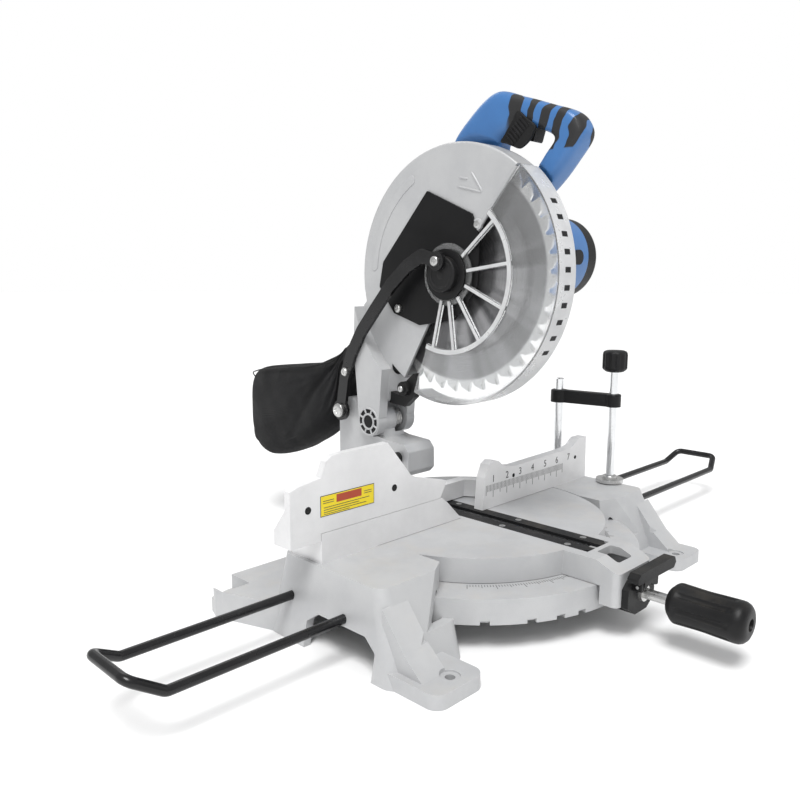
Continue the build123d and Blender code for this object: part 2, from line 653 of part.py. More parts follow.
with BuildPart() as motor_cap:
    extrude(round_x(motor_end, motor_y, motor_z, motor_radius - 0.8), amount=motor_cap_end - motor_end)
    fillet(motor_cap.edges().group_by(Axis.X)[-1], 7)
    extrude(round_x(motor_end - 1, motor_y, motor_z, motor_radius - 5), amount=15,
            mode=Mode.SUBTRACT)
    for k in range(5):
        with Locations((motor_cap_end, motor_y, motor_z - 24 + 12 * k)):
            Box(20, 46, 4, mode=Mode.SUBTRACT)
save(motor_cap, "motor_cap")

with BuildPart() as brush_caps:
    for side in (-1, 1):
        with BuildSketch(Plane(origin=(motor_end - 26, motor_y + side * motor_radius, motor_z),
                               z_dir=(0, side, 0))):
            Circle(8.5)
        extrude(amount=3.5)
save(brush_caps, "brush_caps")

# ---- handle --------------------------------------------------------------------------
handle_mid = (handle_left + handle_right) / 2
trigger_seat = Pos(handle_mid, -46, 481) * Rot(17.5, 0, 0)
handle_edge = [(46, 476), (-6, 523), (-24, 522), (-104, 494), (-121, 481), (-122, 468),
               (-90, 428), (-52, 398), (-30, 392), (34, 392), (42, 420)]
handle_hole = [(-50, 484.7), (-80, 476), (-88, 466), (-64, 437), (-40, 432), (-20, 446),
               (-22, 470)]
with BuildPart() as handle:
    extrude(outline(Plane.YZ.offset(handle_left + 7), handle_edge, 6), amount=handle_right - handle_left - 7)
    upper = [(46, 476), (-6, 523), (-24, 522), (-104, 494), (-121, 481), (-122, 468), (-104, 446),
             (-84, 476), (-20, 496), (-2, 477)]
    extrude(outline(Plane.YZ.offset(handle_left), upper, 2.5), amount=12)
    extrude(outline(Plane.YZ.offset(0), handle_hole, 5), amount=80, mode=Mode.SUBTRACT)
    # stay outside the blade case and over the gear case
    extrude(round_x(0, arbor_y, arbor_z, guard_radius + 0.9), amount=case_right + 0.9,
            mode=Mode.SUBTRACT)
    extrude(round_x(0, motor_y, motor_z, motor_radius + 0.001), amount=motor_start,
            mode=Mode.SUBTRACT)
    with Locations(trigger_seat * Pos(0, 0, 1)):
        Box(17, 40, 32, mode=Mode.SUBTRACT)
save(handle, "handle")

with BuildPart() as trigger:
    with Locations(trigger_seat):
        Box(16, 39, 16)
    fillet(trigger.edges().filter_by(Axis.X), 2)
    for k in range(5):
        with Locations(trigger_seat * Pos(0, -14 + 7 * k, -8.5)):
            Box(20, 2.4, 2.4, mode=Mode.SUBTRACT)
save(trigger, "trigger")

with BuildPart() as switch_panel:
    panel = [(-49, 498), (-71.5, 480.5), (-66, 468.5), (-52, 458), (-40, 458), (-25.6, 465)]
    extrude(outline(Plane.YZ.offset(handle_left - 2.2), panel, 2), amount=2.2)
    extrude(round_x(0, arbor_y, arbor_z, guard_radius + 1.2), amount=20, mode=Mode.SUBTRACT)
save(switch_panel, "switch_panel")

# ---- dust outlet ---------------------------------------------------------------------
with BuildPart() as dust_port:
    extrude(round_y(150, 0, 232, 12.9), amount=30)
    extrude(round_y(156, 0, 232, 17), amount=6)
    extrude(round_y(145, 0, 232, 10.5), amount=40, mode=Mode.SUBTRACT)
save(dust_port, "dust_port")

with BuildPart() as bag_collar:
    extrude(round_y(164, 0, 232, 17.5), amount=24)
    extrude(round_y(160, 0, 232, 13.0), amount=40, mode=Mode.SUBTRACT)
save(bag_collar, "bag_collar")

bag_left = -40.0
bag_right = 26.0
bag_edge = [(188.4, 246), (262, 226), (345, 219), (378, 207), (387, 194), (382, 152), (372, 112),
            (352, 92), (318, 93), (278, 107), (236, 128), (206, 146), (190, 178)]
with BuildPart() as dust_bag:
    extrude(outline(Plane.YZ.offset(bag_left), bag_edge, 5), amount=bag_right - bag_left)
    fillet(dust_bag.edges().group_by(Axis.X)[0], 14)
    fillet(dust_bag.edges().group_by(Axis.X)[-1], 14)
    # the neck narrows towards the collar
    extrude(outline(Plane.XY.offset(60), [(bag_left - 1, 180), (bag_left - 1, 246), (-20, 180)]),
            amount=250, mode=Mode.SUBTRACT)
    extrude(outline(Plane.XY.offset(60), [(bag_right + 1, 180), (bag_right + 1, 232), (20, 180)]),
            amount=250, mode=Mode.SUBTRACT)
save(dust_bag, "dust_bag")

# ---- small head parts ----------------------------------------------------------------
with BuildPart() as chip_guide:
    guide = [(70, 226), (82.5, 215.5), (95, 197), (111, 200), (111, 186), (86, 184), (71, 197)]
    extrude(outline(Plane.YZ.offset(-13), guide, 1.5), amount=9)
    extrude(outline(Plane.YZ.offset(-40), arm_core, 3), amount=80, mode=Mode.SUBTRACT)
save(chip_guide, "chip_guide")

with BuildPart() as case_screws:
    for y, z in ((91.5, 297.5), (135, 290)):
        extrude(round_x(case_left - 5.5, y, z, 4.6), amount=3.2)
save(case_screws, "case_screws")

# ======================================================================================
# Blade, arbor and motor armature
# ======================================================================================
half_plate = blade_plate / 2
gear_radius = 18.6
pinion_radius = math.hypot(arbor_y - motor_y, motor_z - arbor_z) - gear_radius - 0.35
with BuildPart() as saw_blade:
    profile = []
    pitch = 360.0 / blade_teeth
    for k in range(blade_teeth):
        base = k * pitch
        for radius, shift in ((blade_radius, 0.0), (blade_radius - 1.6, 2.2),
                              (blade_radius - 6.0, 5.6), (blade_radius - 10.5, 6.6),
                              (blade_radius - 10.0, 8.2)):
            profile.append(polar(arbor_y, arbor_z, radius, base + shift))
    extrude(outline(Plane.YZ.offset(-half_plate), profile), amount=blade_plate)
    extrude(round_x(-5, arbor_y, arbor_z, 8.0), amount=10, mode=Mode.SUBTRACT)
save(saw_blade, "saw_blade")

with BuildPart() as inner_flange:
    extrude(round_x(half_plate, arbor_y, arbor_z, 22), amount=4.5)
    extrude(round_x(half_plate - 1, arbor_y, arbor_z, 8.0), amount=10, mode=Mode.SUBTRACT)
save(inner_flange, "inner_flange")

with BuildPart() as outer_flange:
    extrude(round_x(-half_plate - 3.5, arbor_y, arbor_z, 22), amount=3.5)
    extrude(round_x(-10, arbor_y, arbor_z, 8.0), amount=12, mode=Mode.SUBTRACT)
save(outer_flange, "outer_flange")

with BuildPart() as arbor_bolt:
    with BuildSketch(Plane.YZ.offset(-half_plate - 8.5)):
        with Locations((arbor_y, arbor_z)):
            RegularPolygon(9.5, 6)
    extrude(amount=5)
save(arbor_bolt, "arbor_bolt")

with BuildPart() as arbor_shaft:
    extrude(round_x(-half_plate - 3.5, arbor_y, arbor_z, 8.0), amount=60 + half_plate)
    extrude(round_x(case_right + 3, arbor_y, arbor_z, gear_radius), amount=12)
save(arbor_shaft, "arbor_shaft")

with BuildPart() as armature:
    extrude(round_x(case_right + 22, motor_y, motor_z, 6.0), amount=130)
    extrude(round_x(case_right + 3, motor_y, motor_z, pinion_radius), amount=19.5)
    extrude(round_x(motor_start + 14, motor_y, motor_z, 30), amount=62)
    extrude(round_x(motor_start + 82, motor_y, motor_z, 16), amount=10)
save(armature, "armature")

# ======================================================================================
# Lower guard and its link
# ======================================================================================
wall_right = guard_wall_left + guard_wall
with BuildPart() as lower_guard:
    extrude(sector(Plane.YZ.offset(guard_wall_left), arbor_y, arbor_z, 80, guard_radius,
                   guard_start, guard_end), amount=guard_wall)
    extrude(sector(Plane.YZ.offset(guard_wall_left), arbor_y, arbor_z, guard_radius - 2.2,
                   guard_radius, guard_start, guard_end), amount=9 - guard_wall_left)
    extrude(round_x(guard_wall_left, arbor_y, arbor_z, 33), amount=guard_wall)
    extrude(sector(Plane.YZ.offset(guard_wall_left - 1.6), arbor_y, arbor_z, 80, 86,
                   guard_start, guard_end), amount=2)
    for degrees in (139, 172, 204, 236, 262, 283):
        with Locations(Pos(guard_wall_left + 0.2, arbor_y, arbor_z) * Rot(degrees, 0, 0)
                       * Pos(0, 57, 0)):
            Box(3.6, 58, 4)
    extrude(round_x(-40, arbor_y, arbor_z, 10.0 + running_clearance), amount=40,
            mode=Mode.SUBTRACT)
save(lower_guard, "lower_guard")

with BuildPart() as guard_hub:
    extrude(round_x(guard_wall_left - 3.8, arbor_y, arbor_z, 27), amount=2.2)
    extrude(round_x(link_left + link_thick + part_gap, arbor_y, arbor_z, 19),
            amount=guard_wall_left - 2.6 - link_left - link_thick - part_gap)
    fillet(guard_hub.edges().filter_by(GeomType.CIRCLE).group_by(Axis.X)[0], 1.5)
save(guard_hub, "guard_hub")

with BuildPart() as link_arm:
    centre_line = [(crank_y, crank_z), (40, 356), (62, 345), (88, 324), (113, 297), (137, 270),
                   (155, 242), (167, 212), (anchor_y, anchor_z)]
    with BuildSketch(Plane.YZ.offset(link_left)):
        with BuildLine() as link_path:
            FilletPolyline(*centre_line, radius=9)
        trace(line_width=15)
        with Locations((crank_y, crank_z)):
            Circle(10)
        with Locations((anchor_y, anchor_z)):
            Circle(12.5)
    extrude(amount=link_thick)
    extrude(round_x(link_left - 1, anchor_y, anchor_z, 4.0 + running_clearance), amount=10,
            mode=Mode.SUBTRACT)
save(link_arm, "link_arm")

with BuildPart() as link_screws:
    for y, z in ((crank_y, crank_z), (163.6, 220.0)):
        extrude(round_x(link_left - 2.2, y, z, 5.0), amount=2.2)
save(link_screws, "link_screws")
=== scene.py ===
import bmesh
import bpy
import math
import numpy as np
from mathutils import Matrix, Vector


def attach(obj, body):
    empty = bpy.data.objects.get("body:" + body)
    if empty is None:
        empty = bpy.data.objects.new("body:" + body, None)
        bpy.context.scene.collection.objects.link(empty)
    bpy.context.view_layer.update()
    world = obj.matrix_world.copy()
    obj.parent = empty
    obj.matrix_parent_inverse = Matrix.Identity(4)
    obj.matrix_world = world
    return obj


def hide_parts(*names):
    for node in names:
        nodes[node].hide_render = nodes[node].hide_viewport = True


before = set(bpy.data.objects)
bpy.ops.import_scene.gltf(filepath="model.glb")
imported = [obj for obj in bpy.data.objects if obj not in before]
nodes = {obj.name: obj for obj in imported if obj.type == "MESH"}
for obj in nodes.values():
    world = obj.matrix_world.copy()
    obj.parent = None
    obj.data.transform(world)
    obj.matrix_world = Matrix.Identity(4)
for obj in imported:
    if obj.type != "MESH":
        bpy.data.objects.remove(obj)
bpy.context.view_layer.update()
print("frame loaded with", len(nodes), "nodes")

# Shared places on the saw, in millimetres; everything is turned into metres when a mesh is made.
sawPlaces = {
    "arbor": (17.0, 336.0),        # blade's axis, (y, z)
    "pivot": (129.0, 163.0),       # head's chop axis, (y, z)
    "fenceFront": -13.0,           # y of the fence's working face
    "caseLeft": -14.5,             # x of the blade case's left face
    "ringTop": 50.4,               # z of the ledge round the table
}


# surfaces
def gridFaces(rows, columns, wrapRows, wrapColumns):
    # each quad joins four neighbours of a rows x columns grid; wrapping joins last to first
    i = np.arange(rows if wrapRows else rows - 1)[:, None]
    j = np.arange(columns if wrapColumns else columns - 1)[None, :]
    nextI, nextJ = (i + 1) % rows, (j + 1) % columns
    quads = np.stack([i * columns + j, i * columns + nextJ, nextI * columns + nextJ,
                      nextI * columns + j], axis=-1)
    return quads.reshape(-1, 4)


def surface(grid, wrapRows=False, wrapColumns=False):
    grid = np.asarray(grid, float)
    return grid.reshape(-1, 3), gridFaces(*grid.shape[:2], wrapRows, wrapColumns)


def combine(shapes):
    starts = np.cumsum([0] + [len(points) for points, _ in shapes[:-1]])
    points = np.concatenate([points for points, _ in shapes])
    faces = np.concatenate([faces + start for (_, faces), start in zip(shapes, starts)])
    return points, faces


def axisFrame(axis):
    # two unit vectors square to the axis, and the axis itself, right-handed
    along = np.array(axis, float) / np.linalg.norm(axis)
    helper = np.array([0.0, 0.0, 1.0]) if abs(along[2]) < 0.9 else np.array([1.0, 0.0, 0.0])
    side = np.cross(helper, along)
    side /= np.linalg.norm(side)
    return side, np.cross(along, side), along


def lathe(profile, centre, axis, steps=48, radiusOf=None):
    # profile is (distance along the axis, radius); each point is centre + distance * axis
    # + radius * (cos t * side + sin t * up), with an optional factor of distance and t on the radius
    profile = np.array(profile, float)
    side, up, along = axisFrame(axis)
    t = np.linspace(0, 2 * np.pi, steps, endpoint=False)
    distance, radius = profile[:, 0][:, None], profile[:, 1][:, None]
    if radiusOf is not None:
        radius = radius * radiusOf(distance, t[None, :])
    radius = np.broadcast_to(radius, (len(profile), steps))
    grid = (np.array(centre, float) + distance[..., None] * along
            + (radius * np.cos(t))[..., None] * side + (radius * np.sin(t))[..., None] * up)
    return surface(grid, wrapColumns=True)


def block(centre, size, turn=None, corner=0.0):
    # a box of four-cornered rings from end to end, chamfered at both ends by corner
    x, y, z = np.array(size, float) / 2
    c = min(corner, x, y, z)
    levels = np.array([[-z, x - c, y - c], [-z + c, x, y], [z - c, x, y], [z, x - c, y - c]]) if c \
        else np.array([[-z, x, y], [z, x, y]])
    ring = np.array([[1, 1], [-1, 1], [-1, -1], [1, -1]], float)
    rows = [np.column_stack([ring * 0, np.full(4, levels[0, 0])])]
    for height, halfX, halfY in levels:
        rows.append(np.column_stack([ring * [halfX, halfY], np.full(4, height)]))
    rows.append(np.column_stack([ring * 0, np.full(4, levels[-1, 0])]))
    points, faces = surface(np.stack(rows), wrapColumns=True)
    if turn is not None:
        points = points @ np.array(turn, float).T
    return points + np.array(centre, float), faces


def squareRound(v, squareness):
    # a circle's cos and sin drawn towards a square: sgn(cos v) |cos v|^(2/n), the same for sin
    power = 2.0 / squareness
    return (np.sign(np.cos(v)) * np.abs(np.cos(v)) ** power,
            np.sign(np.sin(v)) * np.abs(np.sin(v)) ** power)


def aboutX(shape, centre, degrees):
    # a shape laid along +Y from the origin, turned about X and set on centre = (y, z)
    points, faces = shape
    x, y, z = points.T
    a = math.radians(degrees)
    turned = np.column_stack([x, centre[0] + y * math.cos(a) - z * math.sin(a),
                              centre[1] + y * math.sin(a) + z * math.cos(a)])
    return turned, faces


def smoothLoop(points, count, closed=True):
    # Catmull-Rom curve through the points: p(t) from four neighbours' cubic, sampled evenly in t
    points = np.array(points, float)
    n = len(points)
    t = np.linspace(0, n if closed else n - 1, count, endpoint=not closed)
    k = np.minimum(np.floor(t).astype(int), n - 1 if closed else n - 2)
    f = (t - k)[:, None]
    pick = (lambda i: points[i % n]) if closed else (lambda i: points[np.clip(i, 0, n - 1)])
    a, b, c, d = pick(k - 1), pick(k), pick(k + 1), pick(k + 2)
    return 0.5 * (2 * b + (c - a) * f + (2 * a - 5 * b + 4 * c - d) * f ** 2
                  + (3 * b - a - 3 * c + d) * f ** 3)


def tubeAlong(path, radius, steps=12, closed=False):
    # a round profile carried along the path: p + r (cos t * n + sin t * b), frames turned from one
    # point to the next by projecting the last normal
    path = np.array(path, float)
    ahead = np.roll(path, -1, 0) - np.roll(path, 1, 0)
    if not closed:
        ahead[0], ahead[-1] = path[1] - path[0], path[-1] - path[-2]
    ahead /= np.linalg.norm(ahead, axis=1)[:, None]
    normal = np.zeros_like(path)
    last = axisFrame(ahead[0])[0]
    for i in range(len(path)):
        last = last - ahead[i] * last.dot(ahead[i])
        last /= np.linalg.norm(last)
        normal[i] = last
    side = np.cross(ahead, normal)
    t = np.linspace(0, 2 * np.pi, steps, endpoint=False)[None, :, None]
    radius = np.broadcast_to(np.asarray(radius, float).reshape(-1, 1, 1), (len(path), 1, 1))
    grid = path[:, None] + radius * (np.cos(t) * normal[:, None] + np.sin(t) * side[:, None])
    if not closed:
        first = np.broadcast_to(path[0], grid[:1].shape)
        final = np.broadcast_to(path[-1], grid[:1].shape)
        grid = np.concatenate([first, grid, final])
    return surface(grid, wrapRows=closed, wrapColumns=True)


def makePiece(name, shape, material, body, sharp=35.0, uv=None):
    # millimetres in, metres out; doubles merged, skins turned outwards
    points, faces = shape
    mesh = bpy.data.meshes.new(name)
    faces = faces if isinstance(faces, list) else faces.tolist()
    mesh.from_pydata((points / 1000.0).tolist(), [], faces)
    if uv is not None:
        layer = mesh.uv_layers.new(name="cloth")
        corner = np.zeros(len(mesh.loops), np.int32)
        mesh.loops.foreach_get("vertex_index", corner)
        layer.data.foreach_set("uv", uv[corner].astype(np.float32).ravel())
    work = bmesh.new()
    work.from_mesh(mesh)
    bmesh.ops.remove_doubles(work, verts=work.verts, dist=1e-6)
    bmesh.ops.dissolve_degenerate(work, edges=work.edges, dist=1e-7)
    bmesh.ops.recalc_face_normals(work, faces=work.faces)
    work.to_mesh(mesh)
    work.free()
    mesh.polygons.foreach_set("use_smooth", np.ones(len(mesh.polygons), bool))
    mesh.set_sharp_from_angle(angle=math.radians(sharp))
    mesh.materials.append(material)
    piece = bpy.data.objects.new(name, mesh)
    bpy.context.scene.collection.objects.link(piece)
    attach(piece, body)
    return piece


# shader groups used by several finishes
def newGroup(name, inputs, outputs):
    group = bpy.data.node_groups.new(name, "ShaderNodeTree")
    for label, kind, value in inputs:
        socket = group.interface.new_socket(name=label, in_out="INPUT", socket_type=kind)
        if value is not None:
            socket.default_value = value
    for label, kind in outputs:
        group.interface.new_socket(name=label, in_out="OUTPUT", socket_type=kind)
    start = group.nodes.new("NodeGroupInput")
    end = group.nodes.new("NodeGroupOutput")
    return group, start, end


def objectPlace(tree):
    # where a point lies in its object's own metres
    return tree.nodes.new("ShaderNodeTexCoord").outputs["Object"]


def mathNode(tree, operation, a, b=None, clamp=False):
    node = tree.nodes.new("ShaderNodeMath")
    node.operation = operation
    node.use_clamp = clamp
    for slotIndex, value in enumerate((a, b)):
        if value is None:
            continue
        if isinstance(value, (int, float)):
            node.inputs[slotIndex].default_value = value
        else:
            tree.links.new(value, node.inputs[slotIndex])
    return node.outputs[0]


def rampNode(tree, factor, low, high, lowValue=0.0, highValue=1.0):
    node = tree.nodes.new("ShaderNodeMapRange")
    node.interpolation_type = "SMOOTHSTEP"
    tree.links.new(factor, node.inputs["Value"])
    ends = {"From Min": low, "From Max": high, "To Min": lowValue, "To Max": highValue}
    for label, value in ends.items():
        if isinstance(value, (int, float)):
            node.inputs[label].default_value = value
        else:
            tree.links.new(value, node.inputs[label])
    return node.outputs["Result"]


def noiseNode(tree, vector, scale, detail=3.0, roughness=0.55):
    node = tree.nodes.new("ShaderNodeTexNoise")
    tree.links.new(vector, node.inputs["Vector"])
    if isinstance(scale, (int, float)):
        node.inputs["Scale"].default_value = scale
    else:
        tree.links.new(scale, node.inputs["Scale"])
    node.inputs["Detail"].default_value = detail
    node.inputs["Roughness"].default_value = roughness
    return node.outputs["Fac"]


def colourMix(tree, factor, a, b, blend="MIX"):
    node = tree.nodes.new("ShaderNodeMix")
    node.data_type = "RGBA"
    node.blend_type = blend
    sockets = {"Factor": [s for s in node.inputs if s.name == "Factor" and s.type == "VALUE"][0],
               "A": [s for s in node.inputs if s.name == "A" and s.type == "RGBA"][0],
               "B": [s for s in node.inputs if s.name == "B" and s.type == "RGBA"][0]}
    for label, value in (("Factor", factor), ("A", a), ("B", b)):
        if isinstance(value, (int, float)):
            sockets[label].default_value = value
        elif isinstance(value, (tuple, list)):
            sockets[label].default_value = (*value[:3], 1.0)
        else:
            tree.links.new(value, sockets[label])
    return [s for s in node.outputs if s.type == "RGBA"][0]


def buildEdgeWear():
    # the mask is how far a softly bevelled normal leans from the true one, broken up by noise
    group, start, end = newGroup(
        "edgeWear",
        [("Radius", "NodeSocketFloat", 0.0012), ("Amount", "NodeSocketFloat", 0.5)],
        [("Mask", "NodeSocketFloat")])
    bevel = group.nodes.new("ShaderNodeBevel")
    bevel.samples = 4
    geometry = group.nodes.new("ShaderNodeNewGeometry")
    dot = group.nodes.new("ShaderNodeVectorMath")
    dot.operation = "DOT_PRODUCT"
    place = objectPlace(group)
    group.links.new(start.outputs["Radius"], bevel.inputs["Radius"])
    group.links.new(bevel.outputs["Normal"], dot.inputs[0])
    group.links.new(geometry.outputs["Normal"], dot.inputs[1])
    lean = mathNode(group, "SUBTRACT", 1.0, dot.outputs["Value"])
    worn = rampNode(group, lean, 0.02, 0.22)
    broken = rampNode(group, noiseNode(group, place, 160.0, 4.0), 0.35, 0.65)
    mask = mathNode(group, "MULTIPLY", worn, broken)
    mask = mathNode(group, "MULTIPLY", mask, start.outputs["Amount"], clamp=True)
    group.links.new(mask, end.inputs["Mask"])
    return group


def buildGrain():
    # Height: fine noise for the surface's tooth; Tone: slow noise for patchy colour
    group, start, end = newGroup(
        "surfaceGrain",
        [("Scale", "NodeSocketFloat", 900.0), ("Patch", "NodeSocketFloat", 14.0)],
        [("Height", "NodeSocketFloat"), ("Tone", "NodeSocketFloat")])
    place = objectPlace(group)
    group.links.new(noiseNode(group, place, start.outputs["Scale"], 4.0, 0.6), end.inputs["Height"])
    group.links.new(rampNode(group, noiseNode(group, place, start.outputs["Patch"], 5.0, 0.6), 0.3, 0.7),
                    end.inputs["Tone"])
    return group


def buildDust():
    # dust lies where the surface faces up, thinned by noise
    group, start, end = newGroup(
        "settledDust",
        [("Amount", "NodeSocketFloat", 0.2)],
        [("Mask", "NodeSocketFloat")])
    geometry = group.nodes.new("ShaderNodeNewGeometry")
    separate = group.nodes.new("ShaderNodeSeparateXYZ")
    place = objectPlace(group)
    group.links.new(geometry.outputs["Normal"], separate.inputs[0])
    up = rampNode(group, separate.outputs["Z"], 0.4, 1.0)
    patches = rampNode(group, noiseNode(group, place, 35.0, 6.0, 0.7), 0.42, 0.72)
    mask = mathNode(group, "MULTIPLY", up, patches)
    mask = mathNode(group, "MULTIPLY", mask, start.outputs["Amount"], clamp=True)
    group.links.new(mask, end.inputs["Mask"])
    return group


def buildRings():
    # distance from an axis through Centre, along X or Z, as turned-metal rings; the sweep output is painted
    # sheen, light and dark sectors by direction round the axis
    group, start, end = newGroup(
        "turnedRings",
        [("Centre", "NodeSocketVector", (0.0, 0.0, 0.0)), ("Keep", "NodeSocketVector", (1.0, 1.0, 1.0)),
         ("Scale", "NodeSocketFloat", 4000.0)],
        [("Height", "NodeSocketFloat"), ("Distance", "NodeSocketFloat"), ("PaintedSheen", "NodeSocketFloat")])
    place = objectPlace(group)
    away = group.nodes.new("ShaderNodeVectorMath")
    away.operation = "SUBTRACT"
    flat = group.nodes.new("ShaderNodeVectorMath")
    flat.operation = "MULTIPLY"
    length = group.nodes.new("ShaderNodeVectorMath")
    length.operation = "LENGTH"
    group.links.new(place, away.inputs[0])
    group.links.new(start.outputs["Centre"], away.inputs[1])
    group.links.new(away.outputs["Vector"], flat.inputs[0])
    group.links.new(start.outputs["Keep"], flat.inputs[1])
    group.links.new(flat.outputs["Vector"], length.inputs[0])
    distance = length.outputs["Value"]
    spread = group.nodes.new("ShaderNodeCombineXYZ")
    group.links.new(mathNode(group, "MULTIPLY", distance, start.outputs["Scale"]), spread.inputs[0])
    rings = noiseNode(group, spread.outputs[0], 1.0, 3.0, 0.7)
    group.links.new(rings, end.inputs["Height"])
    group.links.new(distance, end.inputs["Distance"])
    facing = group.nodes.new("ShaderNodeVectorMath")
    facing.operation = "NORMALIZE"
    group.links.new(flat.outputs["Vector"], facing.inputs[0])
    # painted sheen: light and dark sectors by direction round the axis, standing in for the highlights of
    # circular-brushed metal
    sheenSectors = rampNode(group, noiseNode(group, facing.outputs["Vector"], 2.4, 3.0), 0.38, 0.62)
    group.links.new(sheenSectors, end.inputs["PaintedSheen"])
    return group


edgeWear, surfaceGrain, settledDust, turnedRings = buildEdgeWear(), buildGrain(), buildDust(), buildRings()


def useGroup(tree, group, **values):
    node = tree.nodes.new("ShaderNodeGroup")
    node.node_tree = group
    for label, value in values.items():
        node.inputs[label].default_value = value
    return node


def startMaterial(name, **constants):
    material = bpy.data.materials.new(name)
    material.use_nodes = True
    tree = material.node_tree
    shader = tree.nodes["Principled BSDF"]
    for label, value in constants.items():
        shader.inputs[label.replace("_", " ")].default_value = value
    return material, tree, shader


def paint(tree, shader, colour, roughness):
    tree.links.new(colour, shader.inputs["Base Color"])
    tree.links.new(roughness, shader.inputs["Roughness"])


def bumpInto(tree, shader, height, strength, distance, below=None):
    bump = tree.nodes.new("ShaderNodeBump")
    bump.inputs["Strength"].default_value = strength
    bump.inputs["Distance"].default_value = distance
    tree.links.new(height, bump.inputs["Height"])
    if below is not None:
        tree.links.new(below, bump.inputs["Normal"])
    tree.links.new(bump.outputs["Normal"], shader.inputs["Normal"])
    return bump.outputs["Normal"]


def workshopFinish(name, colour, tone, wearColour, roughness, spread, grainScale, grainDepth,
                   wear=0.5, dust=0.0, dustColour=(0.62, 0.52, 0.38), patch=14.0, **constants):
    # one recipe for paints and moulded plastics: patchy base, worn edges, dust on top, fine tooth
    material, tree, shader = startMaterial(name, **constants)
    grain = useGroup(tree, surfaceGrain, Scale=grainScale, Patch=patch)
    colourNow = colourMix(tree, grain.outputs["Tone"], colour, tone)
    rough = rampNode(tree, grain.outputs["Tone"], 0.0, 1.0, roughness - spread, roughness + spread)
    worn = useGroup(tree, edgeWear, Radius=0.0012, Amount=wear)
    colourNow = colourMix(tree, worn.outputs["Mask"], colourNow, wearColour)
    if dust:
        lying = useGroup(tree, settledDust, Amount=dust)
        colourNow = colourMix(tree, lying.outputs["Mask"], colourNow, dustColour)
        dulled = mathNode(tree, "MULTIPLY", lying.outputs["Mask"], 0.3)
        rough = mathNode(tree, "ADD", rough, dulled, clamp=True)
    paint(tree, shader, colourNow, rough)
    bumpInto(tree, shader, grain.outputs["Height"], 1.0, grainDepth)
    return material


def turnedMetal(name, colour, tone, roughness, centre, keep, ringDepth, ringScale=4000.0,
                rimHighlightBand=(0.1125, 0.1165), rimHighlightColour=(0.86, 0.86, 0.86), **constants):
    # bare metal with rings turned about an axis, a slow sweep of painted sheen between colour and tone, and
    # a painted highlight band near the rim
    material, tree, shader = startMaterial(name, Metallic=0.75, **constants)
    rings = useGroup(tree, turnedRings, Centre=centre, Keep=keep, Scale=ringScale)
    grain = useGroup(tree, surfaceGrain, Scale=1200.0, Patch=18.0)
    # painted sheen: the light colour and the dark tone trade places round the axis in place of reflected
    # highlights
    colourNow = colourMix(tree, rings.outputs["PaintedSheen"], colour, tone)
    colourNow = colourMix(tree, mathNode(tree, "MULTIPLY", grain.outputs["Tone"], 0.25), colourNow, tone)
    # painted highlight: a near-white band near the blade's rim, standing in for the bright reflection of
    # the teeth zone
    colourNow = colourMix(tree, rampNode(tree, rings.outputs["Distance"], *rimHighlightBand), colourNow, rimHighlightColour)
    rough = rampNode(tree, rings.outputs["Height"], 0.3, 0.7, roughness - 0.06, roughness + 0.08)
    paint(tree, shader, colourNow, rough)
    bumpInto(tree, shader, rings.outputs["Height"], 1.0, ringDepth)
    return material


def brushedMetal(name, colour, tone, roughness, stretch, depth, wear=0.25, metal=1.0, **constants):
    # bare metal with fine lines: noise squeezed hard across one direction
    material, tree, shader = startMaterial(name, Metallic=metal, **constants)
    place = objectPlace(tree)
    mapping = tree.nodes.new("ShaderNodeMapping")
    mapping.inputs["Scale"].default_value = stretch
    tree.links.new(place, mapping.inputs["Vector"])
    lines = noiseNode(tree, mapping.outputs["Vector"], 1.0, 4.0, 0.7)
    grain = useGroup(tree, surfaceGrain, Scale=1500.0, Patch=20.0)
    worn = useGroup(tree, edgeWear, Radius=0.0008, Amount=wear)
    colourNow = colourMix(tree, grain.outputs["Tone"], colour, tone)
    colourNow = colourMix(tree, worn.outputs["Mask"], colourNow, (0.95, 0.95, 0.95))
    paint(tree, shader, colourNow, rampNode(tree, lines, 0.3, 0.7, roughness - 0.07, roughness + 0.1))
    bumpInto(tree, shader, lines, 1.0, depth)
    return material


